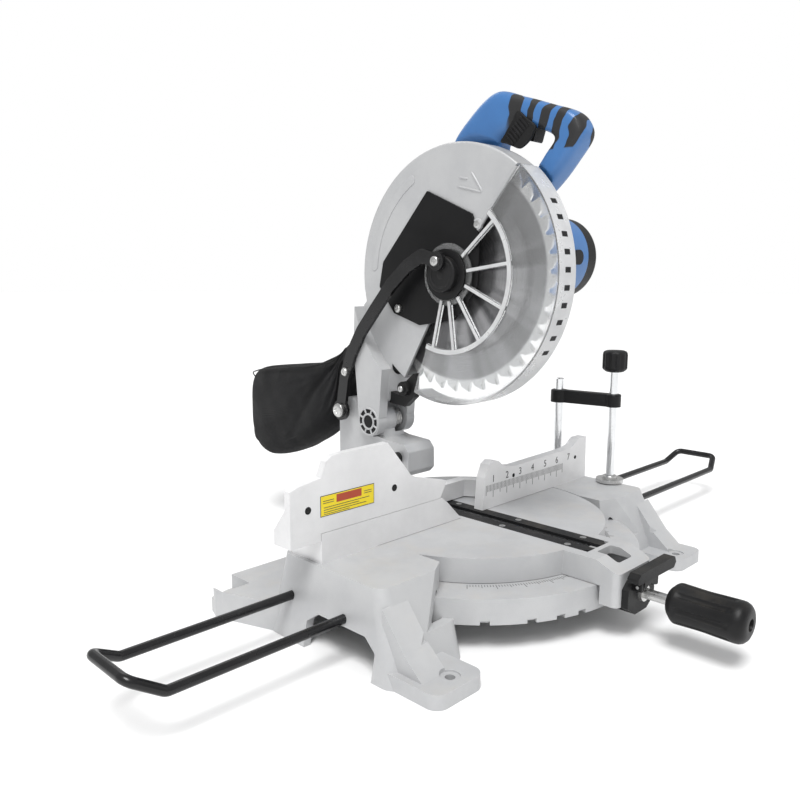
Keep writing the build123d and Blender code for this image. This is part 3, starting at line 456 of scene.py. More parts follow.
blueTones = ((0.050, 0.170, 0.42), (0.042, 0.150, 0.38), (0.16, 0.32, 0.62))   # base, patches, worn edges
finishes = {
    "castPaint": workshopFinish("castPaint", (0.50, 0.505, 0.51), (0.44, 0.445, 0.455), (0.66, 0.665, 0.67),
                                0.42, 0.06, 700.0, 0.00012, wear=0.45, dust=0.12, patch=16.0,
                                Metallic=0.15, Coat_Weight=0.12),
    "fencePaint": brushedMetal("fencePaint", (0.78, 0.78, 0.785), (0.70, 0.70, 0.705), 0.42,
                               (18.0, 18.0, 1400.0), 0.00004, metal=0.25),
    "zincSteel": brushedMetal("zincSteel", (0.62, 0.62, 0.61), (0.50, 0.50, 0.50), 0.32,
                              (300.0, 300.0, 300.0), 0.00004),
    "chromeRod": brushedMetal("chromeRod", (0.80, 0.81, 0.82), (0.70, 0.71, 0.72), 0.14,
                              (60.0, 60.0, 900.0), 0.00002),
    "blackRod": workshopFinish("blackRod", (0.006, 0.006, 0.0065), (0.010, 0.010, 0.011),
                               (0.14, 0.14, 0.14), 0.24, 0.05, 500.0, 0.00004, wear=0.3, patch=30.0,
                               Specular_IOR_Level=0.4),
    "blackPlastic": workshopFinish("blackPlastic", (0.007, 0.007, 0.0075), (0.012, 0.012, 0.0125),
                                   (0.06, 0.06, 0.06), 0.45, 0.07, 1800.0, 0.00010, wear=0.5, dust=0.03,
                                   Specular_IOR_Level=0.25),
    "coverPlastic": workshopFinish("coverPlastic", (0.004, 0.004, 0.0045), (0.007, 0.007, 0.0075),
                                   (0.05, 0.05, 0.05), 0.33, 0.05, 1500.0, 0.00006, wear=0.5, dust=0.02,
                                   Specular_IOR_Level=0.2),
    "bluePlastic": workshopFinish("bluePlastic", *blueTones, 0.34, 0.05, 1600.0, 0.00006, wear=0.5,
                                  dust=0.03, Coat_Weight=0.15),
    "kerfPlastic": workshopFinish("kerfPlastic", (0.010, 0.010, 0.011), (0.017, 0.017, 0.018),
                                  (0.10, 0.10, 0.10), 0.50, 0.06, 1500.0, 0.00005, wear=0.4,
                                  dust=0.04, Specular_IOR_Level=0.15),
    # the blade's light and dark sectors are painted sheen, and its bright rim band is a painted highlight
    "bladeSteel": turnedMetal("bladeSteel", (0.40, 0.40, 0.41), (0.14, 0.14, 0.145), 0.26,
                              (0.0, 0.017, 0.336), (0.0, 1.0, 1.0), 0.00003),
}
print("shared finishes built:", len(finishes))


def guardPlastic():
    # clear sheet: tinted a little, hazier and whiter towards its outer rim, with faint rings
    material, tree, shader = startMaterial("guardPlastic", IOR=1.55, Transmission_Weight=0.92)
    rings = useGroup(tree, turnedRings, Centre=(0.0, 0.017, 0.336), Keep=(0.0, 1.0, 1.0), Scale=700.0)
    grain = useGroup(tree, surfaceGrain, Scale=60.0, Patch=25.0)
    rim = rampNode(tree, rings.outputs["Distance"], 0.128, 0.139)
    colourNow = colourMix(tree, rim, (0.93, 0.94, 0.945), (0.98, 0.985, 0.99))
    colourNow = colourMix(tree, mathNode(tree, "MULTIPLY", grain.outputs["Tone"], 0.2), colourNow,
                          (0.80, 0.81, 0.82))
    rough = mathNode(tree, "ADD", rampNode(tree, grain.outputs["Tone"], 0.0, 1.0, 0.03, 0.10),
                     mathNode(tree, "MULTIPLY", rim, 0.22))
    paint(tree, shader, colourNow, rough)
    bumpInto(tree, shader, grain.outputs["Height"], 0.5, 0.0004)
    return material


finishes["guardPlastic"] = guardPlastic()

nodeFinishes = {
    "castPaint": ("base_casting", "turntable", "bevel_arm", "blade_case", "gear_case"),
    "fencePaint": ("fence", "sliding_fence"),
    "zincSteel": ("centre_bolt", "kerf_screws", "lever_pin", "lock_collar", "lock_rod", "fence_bolts",
                  "clamp_pad", "bevel_bolt", "pivot_shaft", "return_spring", "link_bolt", "case_screws",
                  "inner_flange", "outer_flange", "arbor_bolt", "arbor_shaft", "armature", "link_screws"),
    "chromeRod": ("clamp_post", "clamp_screw"),
    "blackRod": ("left_bar", "right_bar", "link_arm"),
    "blackPlastic": ("front_bracket", "detent_lever", "lock_handle", "clamp_arm", "clamp_knob", "hold_pin",
                     "motor_cap", "brush_caps", "trigger", "switch_panel", "dust_port", "bag_collar",
                     "chip_guide", "guard_hub"),
    "coverPlastic": ("centre_cover",),
    "bluePlastic": ("motor_housing", "handle"),
    "kerfPlastic": ("kerf_plate_left", "kerf_plate_right"),
    "bladeSteel": ("saw_blade",),
    "guardPlastic": ("lower_guard",),
}
for finish, names in nodeFinishes.items():
    for nodeName in names:
        nodes[nodeName].data.materials.clear()
        nodes[nodeName].data.materials.append(finishes[finish])

# dust bag
bagLook = {
    "hemWidth": 0.957,             # of the neck's radius
    "hemDepth": 11.0,              # mm
    "threads": 900.0,              # weave threads per metre of cloth
    "creaseDepth": 2.4,            # mm
    "seamColumns": [18, 54, 90, 126],
    "bandCentre": (0, 178.5, 232),
    "pinnedTo": 0.192,             # m, the cloth is held ahead of this y
    "simFrames": 18, "simCap": 0.007,   # and no point moves further than the cap, in metres
}


def bagCloth():
    # plain weave from the cloth's own UV map: two sine grids out of step, over and under
    material, tree, shader = startMaterial("bagCloth", Sheen_Weight=0.06, Sheen_Roughness=0.5,
                                           Specular_IOR_Level=0.15)
    uvMap = tree.nodes.new("ShaderNodeUVMap")
    uvMap.uv_map = "cloth"
    separate = tree.nodes.new("ShaderNodeSeparateXYZ")
    tree.links.new(uvMap.outputs["UV"], separate.inputs[0])
    turns = 2 * math.pi * bagLook["threads"]
    warp = mathNode(tree, "SINE", mathNode(tree, "MULTIPLY", separate.outputs["X"], turns))
    weft = mathNode(tree, "SINE", mathNode(tree, "MULTIPLY", separate.outputs["Y"], turns))
    weave = mathNode(tree, "MULTIPLY", warp, weft)
    grain = useGroup(tree, surfaceGrain, Scale=350.0, Patch=30.0)
    colourNow = colourMix(tree, grain.outputs["Tone"], (0.006, 0.006, 0.0065), (0.010, 0.010, 0.011))
    colourNow = colourMix(tree, rampNode(tree, weave, 0.2, 1.0, 0.0, 0.6), colourNow, (0.020, 0.020, 0.022))
    lying = useGroup(tree, settledDust, Amount=0.03)
    colourNow = colourMix(tree, lying.outputs["Mask"], colourNow, (0.45, 0.38, 0.28))
    paint(tree, shader, colourNow, rampNode(tree, grain.outputs["Tone"], 0.0, 1.0, 0.72, 0.9))
    soft = bumpInto(tree, shader, grain.outputs["Height"], 0.6, 0.0006)
    bumpInto(tree, shader, weave, 0.7, 0.0003, below=soft)
    return material


def bagShape():
    # a rounded-square ring at each station along Y: x = centre + w * c, z = middle + h * s, with the
    # middle, w and h read from the station table
    stations = np.array([
        # y,    top,   bottom, left,  right, squareness
        (178.0, 250.4, 213.6, -18.4, 18.4, 2.0),
        (187.0, 250.8, 212.5, -18.8, 18.6, 2.0),
        (193.0, 245.0, 198.0, -22.0, 19.0, 2.1),
        (206.0, 237.0, 158.0, -30.0, 22.0, 2.5),
        (236.0, 231.0, 131.0, -37.0, 24.5, 3.0),
        (278.0, 226.0, 109.0, -39.0, 25.0, 3.4),
        (316.0, 221.5, 95.5, -39.0, 25.0, 3.5),
        (344.0, 218.0, 93.0, -38.5, 24.5, 3.3),
        (364.0, 213.5, 98.0, -35.0, 22.5, 3.0),
        (374.5, 206.0, 118.0, -27.0, 17.0, 2.6),
        (379.5, 192.0, 146.0, -13.0, 6.0, 2.2)])
    table = smoothLoop(stations, 120, closed=False)
    v = np.linspace(0, 2 * np.pi, 145)[None, :]
    y, top, bottom, left, right, square = (table[:, k][:, None] for k in range(6))
    c, s = squareRound(v, square)
    x = (left + right) / 2 + (right - left) / 2 * c
    z = (top + bottom) / 2 + (top - bottom) / 2 * s
    # gathers at the neck fade out with y; a slack fold runs from the neck down to the belly
    neck = np.exp(-((y - 190.0) / 16.0) ** 2) * (y > 187)
    pull = 1 - 0.055 * neck * (0.5 + 0.5 * np.cos(15 * v))
    x = (left + right) / 2 + (x - (left + right) / 2) * pull
    z = (top + bottom) / 2 + (z - (top + bottom) / 2) * pull
    foldLine = 240.0 - (y - 195.0) * 1.25
    fold = np.exp(-((z - foldLine) / 7.0) ** 2) * np.exp(-((y - 232.0) / 34.0) ** 2)
    ripple = (np.sin(0.085 * y + 0.05 * z + 0.6) * np.sin(0.061 * z - 0.04 * y)
              + 0.55 * np.sin(0.19 * y - 0.11 * z + 1.1))
    belly = np.clip((y - 200.0) / 30.0, 0, 1) * np.clip((384.0 - y) / 14.0, 0, 1)
    inward = bagLook["creaseDepth"] * fold * np.abs(c) + (0.55 * ripple + 0.7) * belly * np.abs(c)
    x = x - np.sign(c) * inward
    z = z - 0.5 * belly * s * (1 + np.sin(0.16 * y + 0.7) * np.cos(3 * v))
    grid = np.stack(np.broadcast_arrays(x, y, z), axis=-1)
    # the neck's edge is turned in along the collar and closed just past its end
    neck = grid[0].mean(0)
    hem = neck + (grid[0] - neck) * bagLook["hemWidth"]
    plug = hem + [0, bagLook["hemDepth"], 0]
    first, last = (np.broadcast_to(ring.mean(0), ring.shape) for ring in (plug, grid[-1]))
    grid = np.concatenate([[first, plug, hem], grid, [last]])
    along = np.concatenate([[0], np.cumsum(np.linalg.norm(np.diff(grid.mean(1), axis=0), axis=1))])
    uv = np.stack(np.broadcast_arrays(along[:, None] / 1000.0, v / (2 * np.pi) * 0.34), axis=-1)
    return grid, uv.reshape(-1, 2)


def easeCloth(piece):
    # the bag fills a little and hangs: pressure and gravity for a few frames, its neck pinned
    scene = bpy.context.scene
    work = bpy.data.objects.new("bagSim", piece.data.copy())
    scene.collection.objects.link(work)
    pin = work.vertex_groups.new(name="neck")
    co = np.zeros(len(work.data.vertices) * 3)
    work.data.vertices.foreach_get("co", co)
    co = co.reshape(-1, 3)
    pin.add(np.nonzero(co[:, 1] < bagLook["pinnedTo"])[0].tolist(), 1.0, "REPLACE")
    cloth = work.modifiers.new("cloth", "CLOTH")
    settings = cloth.settings
    settings.vertex_group_mass = "neck"
    settings.quality = 6
    settings.mass = 0.02
    settings.use_pressure = True
    settings.uniform_pressure_force = 0.6
    settings.tension_stiffness = 30
    settings.compression_stiffness = 20
    settings.shear_stiffness = 10
    settings.bending_stiffness = 0.6
    settings.effector_weights.gravity = 0.5
    cloth.collision_settings.use_collision = False
    cloth.collision_settings.use_self_collision = False
    for step in range(1, bagLook["simFrames"] + 1):
        scene.frame_set(step)
    ready = work.evaluated_get(bpy.context.evaluated_depsgraph_get())
    moved = np.zeros(len(ready.data.vertices) * 3)
    ready.data.vertices.foreach_get("co", moved)
    moved = moved.reshape(-1, 3)
    drift = moved - co
    size = np.linalg.norm(drift, axis=1, keepdims=True)
    drift *= np.minimum(1.0, bagLook["simCap"] / np.maximum(size, 1e-9))
    piece.data.vertices.foreach_set("co", (co + drift).ravel())
    piece.data.update()
    scene.frame_set(1)
    bpy.data.objects.remove(work)
    print("dust bag settled, greatest move", round(float(size.max()) * 1000, 1), "mm")


clothFinish = bagCloth()
bagGrid, bagUv = bagShape()
dustBag = makePiece("dustBagCloth", surface(bagGrid), clothFinish, "head", sharp=180.0,
                    uv=bagUv)
easeCloth(dustBag)
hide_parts("dust_bag")


def seamLine(column, lift=0.6):
    # points of one column of the bag's grid, a little outside the cloth
    line = bagGrid[7:-2, column]
    centre = bagGrid[7:-2].mean(1)
    out = line - centre
    return line + lift * out / np.linalg.norm(out, axis=1)[:, None]


makePiece("dustBagSeams", combine([tubeAlong(seamLine(k), 0.9, 8) for k in bagLook["seamColumns"]]),
          finishes["blackPlastic"], "head")
bandProfile = [(0, 18.2), (0, 19.6), (0.8, 20.2), (7.2, 20.2), (8, 19.6), (8, 18.2), (0, 18.2)]
makePiece("dustBagBand", lathe(bandProfile, bagLook["bandCentre"], (0, 1, 0), 64),
          finishes["blackPlastic"], "head")
print("dust bag made")

# handle
handleLook = {
    "left": 10.4, "right": 41.6,   # mm, the handle's two sides
    "innerSide": 17.2,             # where it stands beside the blade case
    "squareness": 3.6,
    "caseReach": 137.6,            # from the arbor, where the side starts to come out again
    "caseBlend": 6.0,              # and the distance it takes
    "screws": [(41.4, 12, 412), (41.4, -112, 474), (41.4, 26, 476), (41.4, -58, 421)],
}


def handleShape():
    # a closed loop of superellipse rings: each ring spans from the hole's edge to the outer edge
    outer = [(-14, 522), (-48, 513.5), (-82, 501.5), (-107, 492), (-119, 480), (-121, 466), (-107, 447),
             (-90, 428), (-70, 411), (-51, 399), (-30, 393), (2, 393), (33, 394), (42, 424), (45, 470),
             (22, 499)]
    inner = [(-29, 474.5), (-46, 484), (-66, 480), (-79, 475), (-87, 470), (-87.5, 464), (-79, 454),
             (-71, 444), (-61, 437), (-50, 434), (-40, 433), (-28, 440), (-20.5, 448), (-21, 455),
             (-22, 463), (-23, 470)]
    o, i = smoothLoop(outer, 160), smoothLoop(inner, 160)
    v = np.linspace(0, 2 * np.pi, 48, endpoint=False)[None, :]
    c, s = squareRound(v, handleLook["squareness"])
    middle, half = (o + i) / 2, (o - i) / 2
    yz = middle[:, None] + half[:, None] * c[..., None]
    left, right = handleLook["left"], handleLook["right"]
    x = (left + right) / 2 + (right - left) / 2 * s
    x = np.broadcast_to(x, yz.shape[:2]).copy()
    fromArbor = np.hypot(yz[..., 0] - sawPlaces["arbor"][0], yz[..., 1] - sawPlaces["arbor"][1])
    away = np.clip((fromArbor - handleLook["caseReach"]) / handleLook["caseBlend"], 0, 1)
    away = away * away * (3 - 2 * away)
    x = np.maximum(x, handleLook["innerSide"] + (left - handleLook["innerSide"]) * away)
    return surface(np.dstack([x, yz[..., 0], yz[..., 1]]), wrapRows=True, wrapColumns=True)


def handlePlastic():
    # blue shell with black soft-grip stripes over the top bar: a warped wave, kept to the bar's front
    material, tree, shader = startMaterial("handlePlastic", Coat_Weight=0.1)
    place = objectPlace(tree)
    separate = tree.nodes.new("ShaderNodeSeparateXYZ")
    tree.links.new(place, separate.inputs[0])
    warp = noiseNode(tree, place, 26.0, 2.0)
    run = separate.outputs["Y"]
    for part, share in ((separate.outputs["Z"], 0.45), (warp, 0.030), (separate.outputs["X"], -0.35)):
        run = mathNode(tree, "ADD", run, mathNode(tree, "MULTIPLY", part, share))
    stripe = rampNode(tree, mathNode(tree, "SINE", mathNode(tree, "MULTIPLY", run, 300.0)), -0.25, -0.05)
    forward = rampNode(tree, separate.outputs["Y"], -0.030, -0.038)
    high = rampNode(tree, separate.outputs["Z"], 0.4560, 0.4575)
    band = mathNode(tree, "MULTIPLY", forward, high)
    grip = mathNode(tree, "MULTIPLY", stripe, band)
    grain = useGroup(tree, surfaceGrain, Scale=1700.0, Patch=18.0)
    worn = useGroup(tree, edgeWear, Radius=0.0012, Amount=0.35)
    blue = colourMix(tree, grain.outputs["Tone"], *blueTones[:2])
    blue = colourMix(tree, worn.outputs["Mask"], blue, blueTones[2])
    colourNow = colourMix(tree, grip, blue, (0.012, 0.012, 0.013))
    rough = mathNode(tree, "ADD", rampNode(tree, grain.outputs["Tone"], 0.0, 1.0, 0.30, 0.40),
                     mathNode(tree, "MULTIPLY", grip, 0.3))
    paint(tree, shader, colourNow, rough)
    soft = bumpInto(tree, shader, grip, 0.6, 0.0006)
    bumpInto(tree, shader, grain.outputs["Height"], 1.0, 0.00006, below=soft)
    return material


handleShell = makePiece("handleShell", handleShape(), handlePlastic(), "head", sharp=50.0)
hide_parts("handle")


screwLook = {                      # rows are (share of the height, share of the radius)
    "dome": [(0, 0), (0, 1), (0.45, 1), (0.85, 0.86), (1, 0.55), (1, 0.40), (0.45, 0.34), (0.35, 0)],
    "pan": [(0, 0), (0, 1), (0.5, 1), (0.9, 0.88), (1, 0.7), (1, 0.45), (0.5, 0.38), (0.4, 0)],
    "lobeDepth": {"dome": 0.22, "pan": 0.25},
    "steps": {"dome": 36, "pan": 40},
    "socketFrom": 5,               # the first row that belongs to the recess
}


def screwHead(centre, axis, radius, height, kind="dome", lobes=4):
    # the profile rises, rounds over and dips; the dip's radius is 1 + depth * cos(lobes t)
    profile = np.array(screwLook[kind]) * [height, radius]
    inner = np.arange(len(profile))[:, None] >= screwLook["socketFrom"]
    depth = screwLook["lobeDepth"][kind]
    return lathe(profile, centre, axis, screwLook["steps"][kind],
                 lambda distance, t: np.where(inner, 1 + depth * np.cos(lobes * t), 1.0))


handleScrewHeads = [screwHead(spot, (1, 0, 0), 3.2, 1.2) for spot in handleLook["screws"]]
makePiece("handleScrews", combine(handleScrewHeads), finishes["zincSteel"], "head")
print("handle made")

# grips, knob and switch panel
gripLook = {
    "start": -242.0, "end": -313.6,   # mm along Y
    "height": 43.0, "radius": 18.8,
    "flutes": 8, "fluteDepth": 0.085,
    "knobRadius": 15.4, "knobFlutes": 12,
    "panelRibs": 7,
}


def lockGrip():
    # a lathe whose radius dips at each flute: r * (1 - depth * window(d) * bump(cos(n t)))
    start, end, r = gripLook["start"], gripLook["end"], gripLook["radius"]
    length = start - end
    profile = np.array([(0, 0), (0, 5.6), (0, 12.0), (0.8, 13.2), (5, 17.4), (6.5, r - 0.4), (8, r)]
                       + [(d, r) for d in np.linspace(9, length - 10, 34)]
                       + [(length - 7, r - 0.3), (length - 4, r - 1.6), (length - 1.6, r - 4.2),
                          (length - 0.4, r - 7.2), (length, r - 9.6), (length, 5.6), (length - 3, 5.0),
                          (length - 3, 0)])

    def flutes(distance, t):
        window = np.clip((distance - 9) / 4, 0, 1) * np.clip((length - 12 - distance) / 4, 0, 1)
        dip = np.clip(np.cos(gripLook["flutes"] * t) * 1.6 - 0.6, 0, 1)
        waist = 0.035 * np.exp(-((distance - 0.45 * length) / 16.0) ** 2)
        return 1 - window * (gripLook["fluteDepth"] * np.sqrt(dip) + waist)
    return lathe(profile, (0, start, gripLook["height"]), (0, -1, 0), 160, flutes)


def clampKnob():
    # the same idea on a short knob, standing on the clamp screw
    r = gripLook["knobRadius"]
    profile = np.array([(0, 0), (0, 9.5), (0.5, 11), (3, r - 1.2), (5, r)]
                       + [(d, r) for d in np.linspace(6, 21, 12)]
                       + [(23.5, r - 0.4), (25.5, r - 1.8), (26.6, r - 4.5), (26.9, r - 8), (26.9, 0)])

    def flutes(distance, t):
        window = np.clip((distance - 4) / 3, 0, 1) * np.clip((25 - distance) / 3, 0, 1)
        return 1 - 0.075 * window * (0.5 + 0.5 * np.cos(gripLook["knobFlutes"] * t)) ** 2
    return lathe(profile, (222, -50, 217), (0, 0, 1), 144, flutes)


for pieceName, pieceShape, body, cadName in (("lockGrip", lockGrip(), "lock", "lock_handle"),
                                             ("clampKnobGrip", clampKnob(), "screw", "clamp_knob")):
    grip = makePiece(pieceName, pieceShape, finishes["blackPlastic"], body, sharp=45.0)
    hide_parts(cadName)


def panelPoints(points, scale):
    points = np.array(points, float)
    middle = points.mean(0)
    return middle + (points - middle) * scale


def panelShape():
    # rings of the panel's outline stepped outwards: outline scaled about its middle, x by ring
    edge = [(-49, 497.6), (-60, 489.5), (-71, 480.6), (-68.5, 474), (-65.8, 469), (-59, 463.6), (-52, 461),
            (-44, 464), (-35, 467.6), (-28.5, 470), (-33, 476), (-41, 486.5)]
    loop = smoothLoop(edge, 96)
    rings = [(10.6, 1.0), (8.6, 1.0), (7.9, 0.975), (7.8, 0.93), (8.2, 0.90), (8.25, 0.5), (8.25, 0.0)]
    grid = [np.column_stack([np.full(96, x), panelPoints(loop, s)]) for x, s in rings]
    return surface(np.stack(grid), wrapColumns=True)


def ribShapes():
    # short rounded bars across the panel, one after another down its length
    start, end = np.array([-58.5, 487.0]), np.array([-40.0, 470.0])
    along = (end - start) / np.linalg.norm(end - start)
    turn = np.array([[1, 0, 0], [0, along[0], -along[1]], [0, along[1], along[0]]])
    spots = start + (end - start) * np.linspace(0.04, 0.96, gripLook["panelRibs"])[:, None]
    return [block((8.0, y, z), (1.5, 1.6, 15.0), turn, corner=0.6) for y, z in spots]


panelPiece = makePiece("switchPanelShell", panelShape(), finishes["blackPlastic"], "head")
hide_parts("switch_panel")
makePiece("switchPanelRibs", combine(ribShapes()), finishes["kerfPlastic"], "head")
print("grips and panel made")

# blade tips
bladeLook = {
    "teeth": 40, "radius": 127.5, "kerf": 3.1,
    "tipDepth": 6.2, "tipWidth": 2.1, "tipSunk": 0.05,   # mm
    "tipTurn": 0.75,               # degrees ahead of the tooth
}


def bladeTips():
    # one small carbide block per tooth, laid along +Y and turned into place
    radius = bladeLook["radius"] - bladeLook["tipDepth"] / 2 - bladeLook["tipSunk"]
    size = (bladeLook["kerf"], bladeLook["tipWidth"], bladeLook["tipDepth"])
    points, faces = block((0, 0, radius), size, corner=0.25)
    tip = (points[:, [0, 2, 1]], faces)
    step = 360.0 / bladeLook["teeth"]
    return combine([aboutX(tip, sawPlaces["arbor"], k * step + bladeLook["tipTurn"])
                    for k in range(bladeLook["teeth"])])


# the tips' near-white colour is a painted highlight for the teeth's bright reflection
carbide = brushedMetal("carbide", (0.90, 0.90, 0.89), (0.80, 0.80, 0.79), 0.30, (400.0, 400.0, 400.0),
                       0.00003, metal=0.3)
makePiece("bladeTips", bladeTips(), carbide, "spindle")

# scales and label
scaleLook = {
    "inch": 25.4, "first": 29.7, "figures": 7,     # mm, along the fence from x = first
    "figureHeight": 8.2, "figureLow": 105.0,
    "lift": 0.16,
}


def flatBars(rects, y, lift):
    # thin raised bars on the fence's face: each is low x, high x, low z, high z
    rects = np.array(rects, float)
    centres = [((a + b) / 2, y - lift / 2, (c + d) / 2) for a, b, c, d in rects]
    return combine([block(centre, (b - a, lift, d - c)) for centre, (a, b, c, d) in zip(centres, rects)])


def fenceScale():
    # long ticks at inches, middle ticks at halves, short ticks at tenths
    first, inch, top = scaleLook["first"], scaleLook["inch"], 102.6
    rects = []
    for k in range(61):
        x = first - 0.5 * inch + k * inch / 10
        whole, half = (k - 5) % 10 == 0, k % 10 == 0
        length = 15.0 if whole else 11.5 if half else 7.5
        if x > first + 6.2 * inch or x < 17:
            continue
        rects.append((x - 0.28, x + 0.28, top - length, top))
    return flatBars(rects, sawPlaces["fenceFront"], scaleLook["lift"])


def textMesh(text, height):
    # a font curve turned into a mesh, as points and polygons, before it is placed
    curve = bpy.data.curves.new("figure", "FONT")
    curve.body = text
    curve.size = height * 1.42
    curve.extrude = 0.5 * scaleLook["lift"]
    curve.align_x = "CENTER"
    curve.resolution_u = 3
    carrier = bpy.data.objects.new("figure", curve)
    bpy.context.scene.collection.objects.link(carrier)
    mesh = bpy.data.meshes.new_from_object(carrier.evaluated_get(bpy.context.evaluated_depsgraph_get()))
    points = np.zeros(len(mesh.vertices) * 3)
    mesh.vertices.foreach_get("co", points)
    polygons = [list(p.vertices) for p in mesh.polygons]
    bpy.data.objects.remove(carrier)
    bpy.data.meshes.remove(mesh)
    return points.reshape(-1, 3), polygons


def fenceFigures():
    points, polygons, count = [], [], 0
    for k in range(scaleLook["figures"]):
        flat, faces = textMesh(str(k + 1), scaleLook["figureHeight"])
        flat = flat - [flat[:, 0].mean(), flat[:, 1].min(), 0]
        x = scaleLook["first"] + k * scaleLook["inch"]
        y = sawPlaces["fenceFront"] - scaleLook["lift"] / 2
        placed = np.column_stack([x + flat[:, 0], y - flat[:, 2], scaleLook["figureLow"] + flat[:, 1]])
        points.append(placed)
        polygons += [[v + count for v in face] for face in faces]
        count += len(flat)
    return np.concatenate(points), polygons


inkPaint = workshopFinish("inkPaint", (0.020, 0.020, 0.021), (0.035, 0.035, 0.036), (0.30, 0.30, 0.30),
                          0.55, 0.08, 1500.0, 0.00003, wear=0.3)
makePiece("fenceScaleTicks", fenceScale(), inkPaint, "base")
makePiece("fenceScaleFigures", fenceFigures(), inkPaint, "base")


def tableScale():
    # ticks fanned round the ring's ledge, every degree, longer at fives and tens
    bars = []
    for degree in range(-50, 51):
        reach = 9.0 if degree % 10 == 0 else 6.5 if degree % 5 == 0 else 4.0
        a = math.radians(degree)
        outward = np.array([math.sin(a), -math.cos(a)])
        side = np.array([math.cos(a), math.sin(a)])
        turn = np.array([[side[0], outward[0], 0], [side[1], outward[1], 0], [0, 0, 1]])
        middle = outward * (153.5 + reach / 2)
        bars.append(block((middle[0], middle[1], sawPlaces["ringTop"] + 0.05), (0.5, reach, 0.2), turn))
    return combine(bars)


makePiece("ringScaleTicks", tableScale(), inkPaint, "base")

labelLook = {                      # rectangles are low x, high x, low z, high z
    "border": (-222.0, -155.6, 119.6, 139.2),
    "field": (-221.3, -156.3, 120.3, 138.5),
    "block": (-203.0, -172.0, 130.2, 137.6),
    "rules": [(-219.0, -206.0, 133.6, 134.2), (-219.0, -206.0, 131.6, 132.2),
              (-169.0, -159.0, 133.6, 134.2), (-169.0, -159.0, 131.6, 132.2),
              (-218.0, -162.0, 127.4, 128.0), (-218.0, -175.0, 125.2, 125.8),
              (-218.0, -166.0, 123.0, 123.6), (-218.0, -187.0, 121.2, 121.7)],
}


labelYellow = workshopFinish("labelYellow", (0.83, 0.66, 0.015), (0.78, 0.61, 0.015), (0.90, 0.80, 0.50),
                             0.35, 0.05, 1200.0, 0.00002, wear=0.3)
labelRed = workshopFinish("labelRed", (0.42, 0.06, 0.02), (0.36, 0.05, 0.02), (0.70, 0.40, 0.30),
                          0.38, 0.05, 1200.0, 0.00002, wear=0.2)
for pieceName, rects, lift, look, slotName in (
        ("labelBorder", [labelLook["border"]], 0.16, inkPaint, "black_plastic"),
        ("labelField", [labelLook["field"]], 0.24, labelYellow, "fence_metal"),
        ("labelBlock", [labelLook["block"]], 0.32, labelRed, "fence_metal"),
        ("labelRules", labelLook["rules"], 0.32, inkPaint, "black_plastic")):
    makePiece(pieceName, flatBars(rects, sawPlaces["fenceFront"], lift), look, "slide_fence")
print("scales and label made")

# guard ribs and rim
guardLook = {
    "ribAngles": (139, 172, 204, 236, 262, 283),   # degrees about the arbor, from +Y towards +Z
    "ribFrom": 28.5, "ribTo": 84.5, "ribWidth": 3.4,
    "arc": (80.6, 85.4), "span": (131.4, 289.6),
    "face": -21.15, "rimRadius": 140.0, "rim": (-19.3, 8.8),
    "slotAngles": range(150, 215, 7),
}


def arcBand(inner, outer, low, high, span, steps=90):
    # a closed ring sector: a four-cornered profile (radius, x) carried round the arbor
    y0, z0 = sawPlaces["arbor"]
    t = np.radians(np.linspace(*span, steps))[:, None]
    radius = np.array([inner, outer, outer, inner])[None, :]
    x = np.broadcast_to(np.array([low, low, high, high])[None, :], (steps, 4))
    grid = np.dstack([x, y0 + radius * np.cos(t), z0 + radius * np.sin(t)])
    ends = [np.broadcast_to(grid[k].mean(0), (1, 4, 3)) for k in (0, -1)]
    return surface(np.concatenate([ends[0], grid, ends[1]]), wrapColumns=True)


def guardRibs():
    length = guardLook["ribTo"] - guardLook["ribFrom"]
    rib = block((guardLook["face"] - 0.3, guardLook["ribFrom"] + length / 2, 0),
                (0.9, length, guardLook["ribWidth"]), corner=0.3)
    bars = [aboutX(rib, sawPlaces["arbor"], degrees) for degrees in guardLook["ribAngles"]]
    ring = arcBand(*guardLook["arc"], guardLook["face"] - 0.6, guardLook["face"] + 0.2, guardLook["span"])
    return combine(bars + [ring])


frosted = workshopFinish("frostedPlastic", (0.86, 0.865, 0.87), (0.76, 0.765, 0.775), (0.95, 0.95, 0.95),
                         0.34, 0.08, 300.0, 0.0002, wear=0.4, patch=40.0, Transmission_Weight=0.35)
makePiece("guardRibFaces", guardRibs(), frosted, "guard")
rimShell = arcBand(guardLook["rimRadius"] - 0.1, guardLook["rimRadius"] + 0.25, *guardLook["rim"],
                   guardLook["span"], 140)
makePiece("guardRimBand", rimShell, frosted, "guard")
# painted shade: thin dark sheets on the rim where its slots are, standing in for the shade in the openings
slotShadeSheet = block((-5.0, guardLook["rimRadius"] + 0.2, 0), (9.0, 0.5, 5.4), corner=0.2)
rimSlotShades = [aboutX(slotShadeSheet, sawPlaces["arbor"], degrees) for degrees in guardLook["slotAngles"]]
makePiece("guardRimSlotShades", combine(rimSlotShades), finishes["kerfPlastic"], "guard")
print("guard faces made")

# castings' small detail
detailLook = {
    "arrow": [[(6.0, 436.0), (-5.0, 433.5)], [(-9.6, 440.0), (-17.5, 429.5), (-24.6, 419.0)],
              [(9.6, 427.0), (-4.0, 424.0), (-14.0, 421.4), (-24.0, 418.6)]],
    "padSpan": (2.0, 63.0), "padRadius": (112.5, 122.5),
    "boss": (-19.8, 387.0),
    "earRing": (8.6, 15.2), "earSegments": 8,
}


def caseArrow():
    # raised strokes on the case's left face, carried along short curves and half sunk in it
    strokes = []
    for stroke in detailLook["arrow"]:
        path = smoothLoop(stroke, 24, closed=False)
        path = np.column_stack([np.full(24, sawPlaces["caseLeft"]), path])
        thick = 1.15 * np.sqrt(np.clip(1 - (np.linspace(-1, 1, 24)) ** 4, 0.05, 1))
        strokes.append(tubeAlong(path, thick, 10))
    return combine(strokes)


